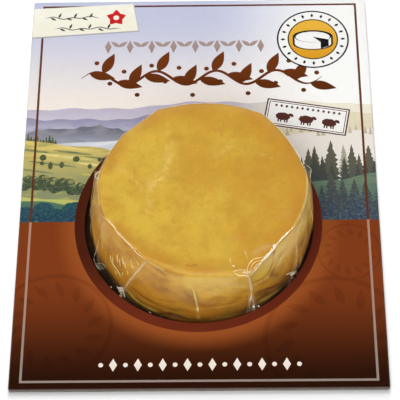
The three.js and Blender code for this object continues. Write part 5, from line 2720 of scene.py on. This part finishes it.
@dataclass(frozen=True)
class SoftBox:
    """A flat light that looks at the pack from an angle round it and an angle above the floor, in metres."""

    name: str
    azimuth: float
    elevation: float
    distance: float
    width: float
    height: float
    brightness: float
    glow: Glow
    floor_only: bool = False

    def build(self, target: Vector, floor: bpy.types.Collection) -> bpy.types.Object:
        """Makes the light and aims it. One with floor_only lights nothing but the floor's collection.

        Args:
            target: What it aims at.
            floor: The floor's collection.

        Returns:
            The light.
        """
        light = bpy.data.lights.new(self.name, "AREA")
        light.shape = "RECTANGLE"
        light.size, light.size_y = self.width, self.height
        light.energy = self.brightness * math.pi * self.width * self.height
        made = bpy.data.objects.new(self.name, light)
        turn, rise = math.radians(self.azimuth), math.radians(self.elevation)
        away = Vector((math.cos(turn) * math.cos(rise), math.sin(turn) * math.cos(rise), math.sin(rise)))
        made.location = target + away * self.distance
        made.rotation_euler = away.to_track_quat("Z", "Y").to_euler()
        made.visible_diffuse = self.glow is Glow.MATT
        made.visible_glossy = self.glow is Glow.GLOSS
        if self.floor_only:
            made.light_linking.receiver_collection = floor
        bpy.context.scene.collection.objects.link(made)
        return made


@dataclass
class Studio:
    """A pale floor, soft lights and the camera."""

    floor_size: float = 3.0
    floor_drop: float = 0.0001
    floor_dark: Colour = (0.52, 0.52, 0.52, 1.0)
    floor_light: Colour = (0.53, 0.53, 0.53, 1.0)
    world_brightness: float = 0.43
    mirrored_brightness: float = 0.06
    camera_place: tuple[float, float, float] = (0.0130, -0.42841, 0.66765)
    camera_turn: tuple[float, float, float] = (0.5604, 0.016, -0.0089)
    camera_lens: float = 148.62
    target: tuple[float, float, float] = (0.0, 0.0, 0.02)
    lights: tuple[SoftBox, ...] = (
        SoftBox("top_light", -112, 60, 1.5, 1.3, 1.3, 3.5, Glow.MATT),
        SoftBox("front_sheen", -95, 40, 1.5, 1.2, 0.8, 0.5, Glow.GLOSS),
        SoftBox("right_glint", -14, 36, 1.2, 0.34, 0.62, 26.0, Glow.GLOSS),
        SoftBox("left_glint", 188, 42, 1.2, 0.30, 0.55, 9.0, Glow.GLOSS),
        SoftBox("floor_light", 90, 46, 1.5, 0.6, 1.6, 13.0, Glow.MATT, floor_only=True),
    )

    def build(self) -> None:
        """Makes everything that isn't part of the pack."""
        floor = self.floor()
        self.world()
        for light in self.lights:
            light.build(Vector(self.target), floor)
        self.camera()
        bpy.context.scene.view_settings.view_transform = "Standard"

    def floor(self) -> bpy.types.Collection:
        """Makes the plain pale floor and gives the collection that it is in.

        Returns:
            The floor's collection.
        """
        made, kit, output = new_material("pale_floor")
        colour = kit.mix(kit.noise(kit.spot(), 60, 2.0), self.floor_dark, self.floor_light)
        kit.coat(output, Base_Color=colour, Roughness=0.8, Specular_IOR_Level=0.1)
        half = self.floor_size / 2
        mesh = bpy.data.meshes.new("floor")
        corners = [(x, y, -self.floor_drop) for x, y in rectangle(-half, -half, half, half)]
        mesh.from_pydata(corners, [], [(0, 1, 2, 3)])
        mesh.materials.append(made)
        floor = bpy.data.objects.new("floor", mesh)
        group = bpy.data.collections.new("floor")
        bpy.context.scene.collection.children.link(group)
        group.objects.link(floor)
        return group

    def world(self) -> None:
        """Makes an even soft surround."""
        world = bpy.data.worlds.new("studio")
        bpy.context.scene.world = world
        world.use_nodes = True
        kit = NodeKit(world.node_tree)
        mirrored = kit.add("ShaderNodeLightPath").outputs["Is Glossy Ray"]
        strength = kit.ramp(mirrored, 0.0, 1.0, self.world_brightness, self.mirrored_brightness, smooth=False)
        kit.feed(world.node_tree.nodes["Background"].inputs[1], strength)
        world.node_tree.nodes["Background"].inputs[0].default_value = (1.0, 1.0, 1.0, 1.0)

    def camera(self) -> None:
        """Makes the camera."""
        lens = bpy.data.cameras.new("camera")
        lens.sensor_width = 36.0
        lens.lens = self.camera_lens
        lens.clip_start, lens.clip_end = 0.01, 20.0
        made = bpy.data.objects.new("camera", lens)
        made.location = self.camera_place
        made.rotation_mode = "ZYX"
        made.rotation_euler = self.camera_turn
        bpy.context.scene.collection.objects.link(made)
        bpy.context.scene.camera = made


def main() -> None:
    """Builds the pack and the studio, and reports each piece."""
    logging.basicConfig(level=logging.INFO, format="%(name)s: %(message)s")
    effects = Effects()
    size = SleeveSize.from_frame()
    form = WheelForm.from_frame(size)
    pieces = [CartonSleeve(size, effects).build(), CheeseWheel(form, effects).build()]
    pieces += VacuumFilm(form, effects).build()
    for piece in pieces:
        log.info("%s has %d faces", piece.name, len(piece.data.polygons))
    Studio().build()


if __name__ == "__main__":
    main()
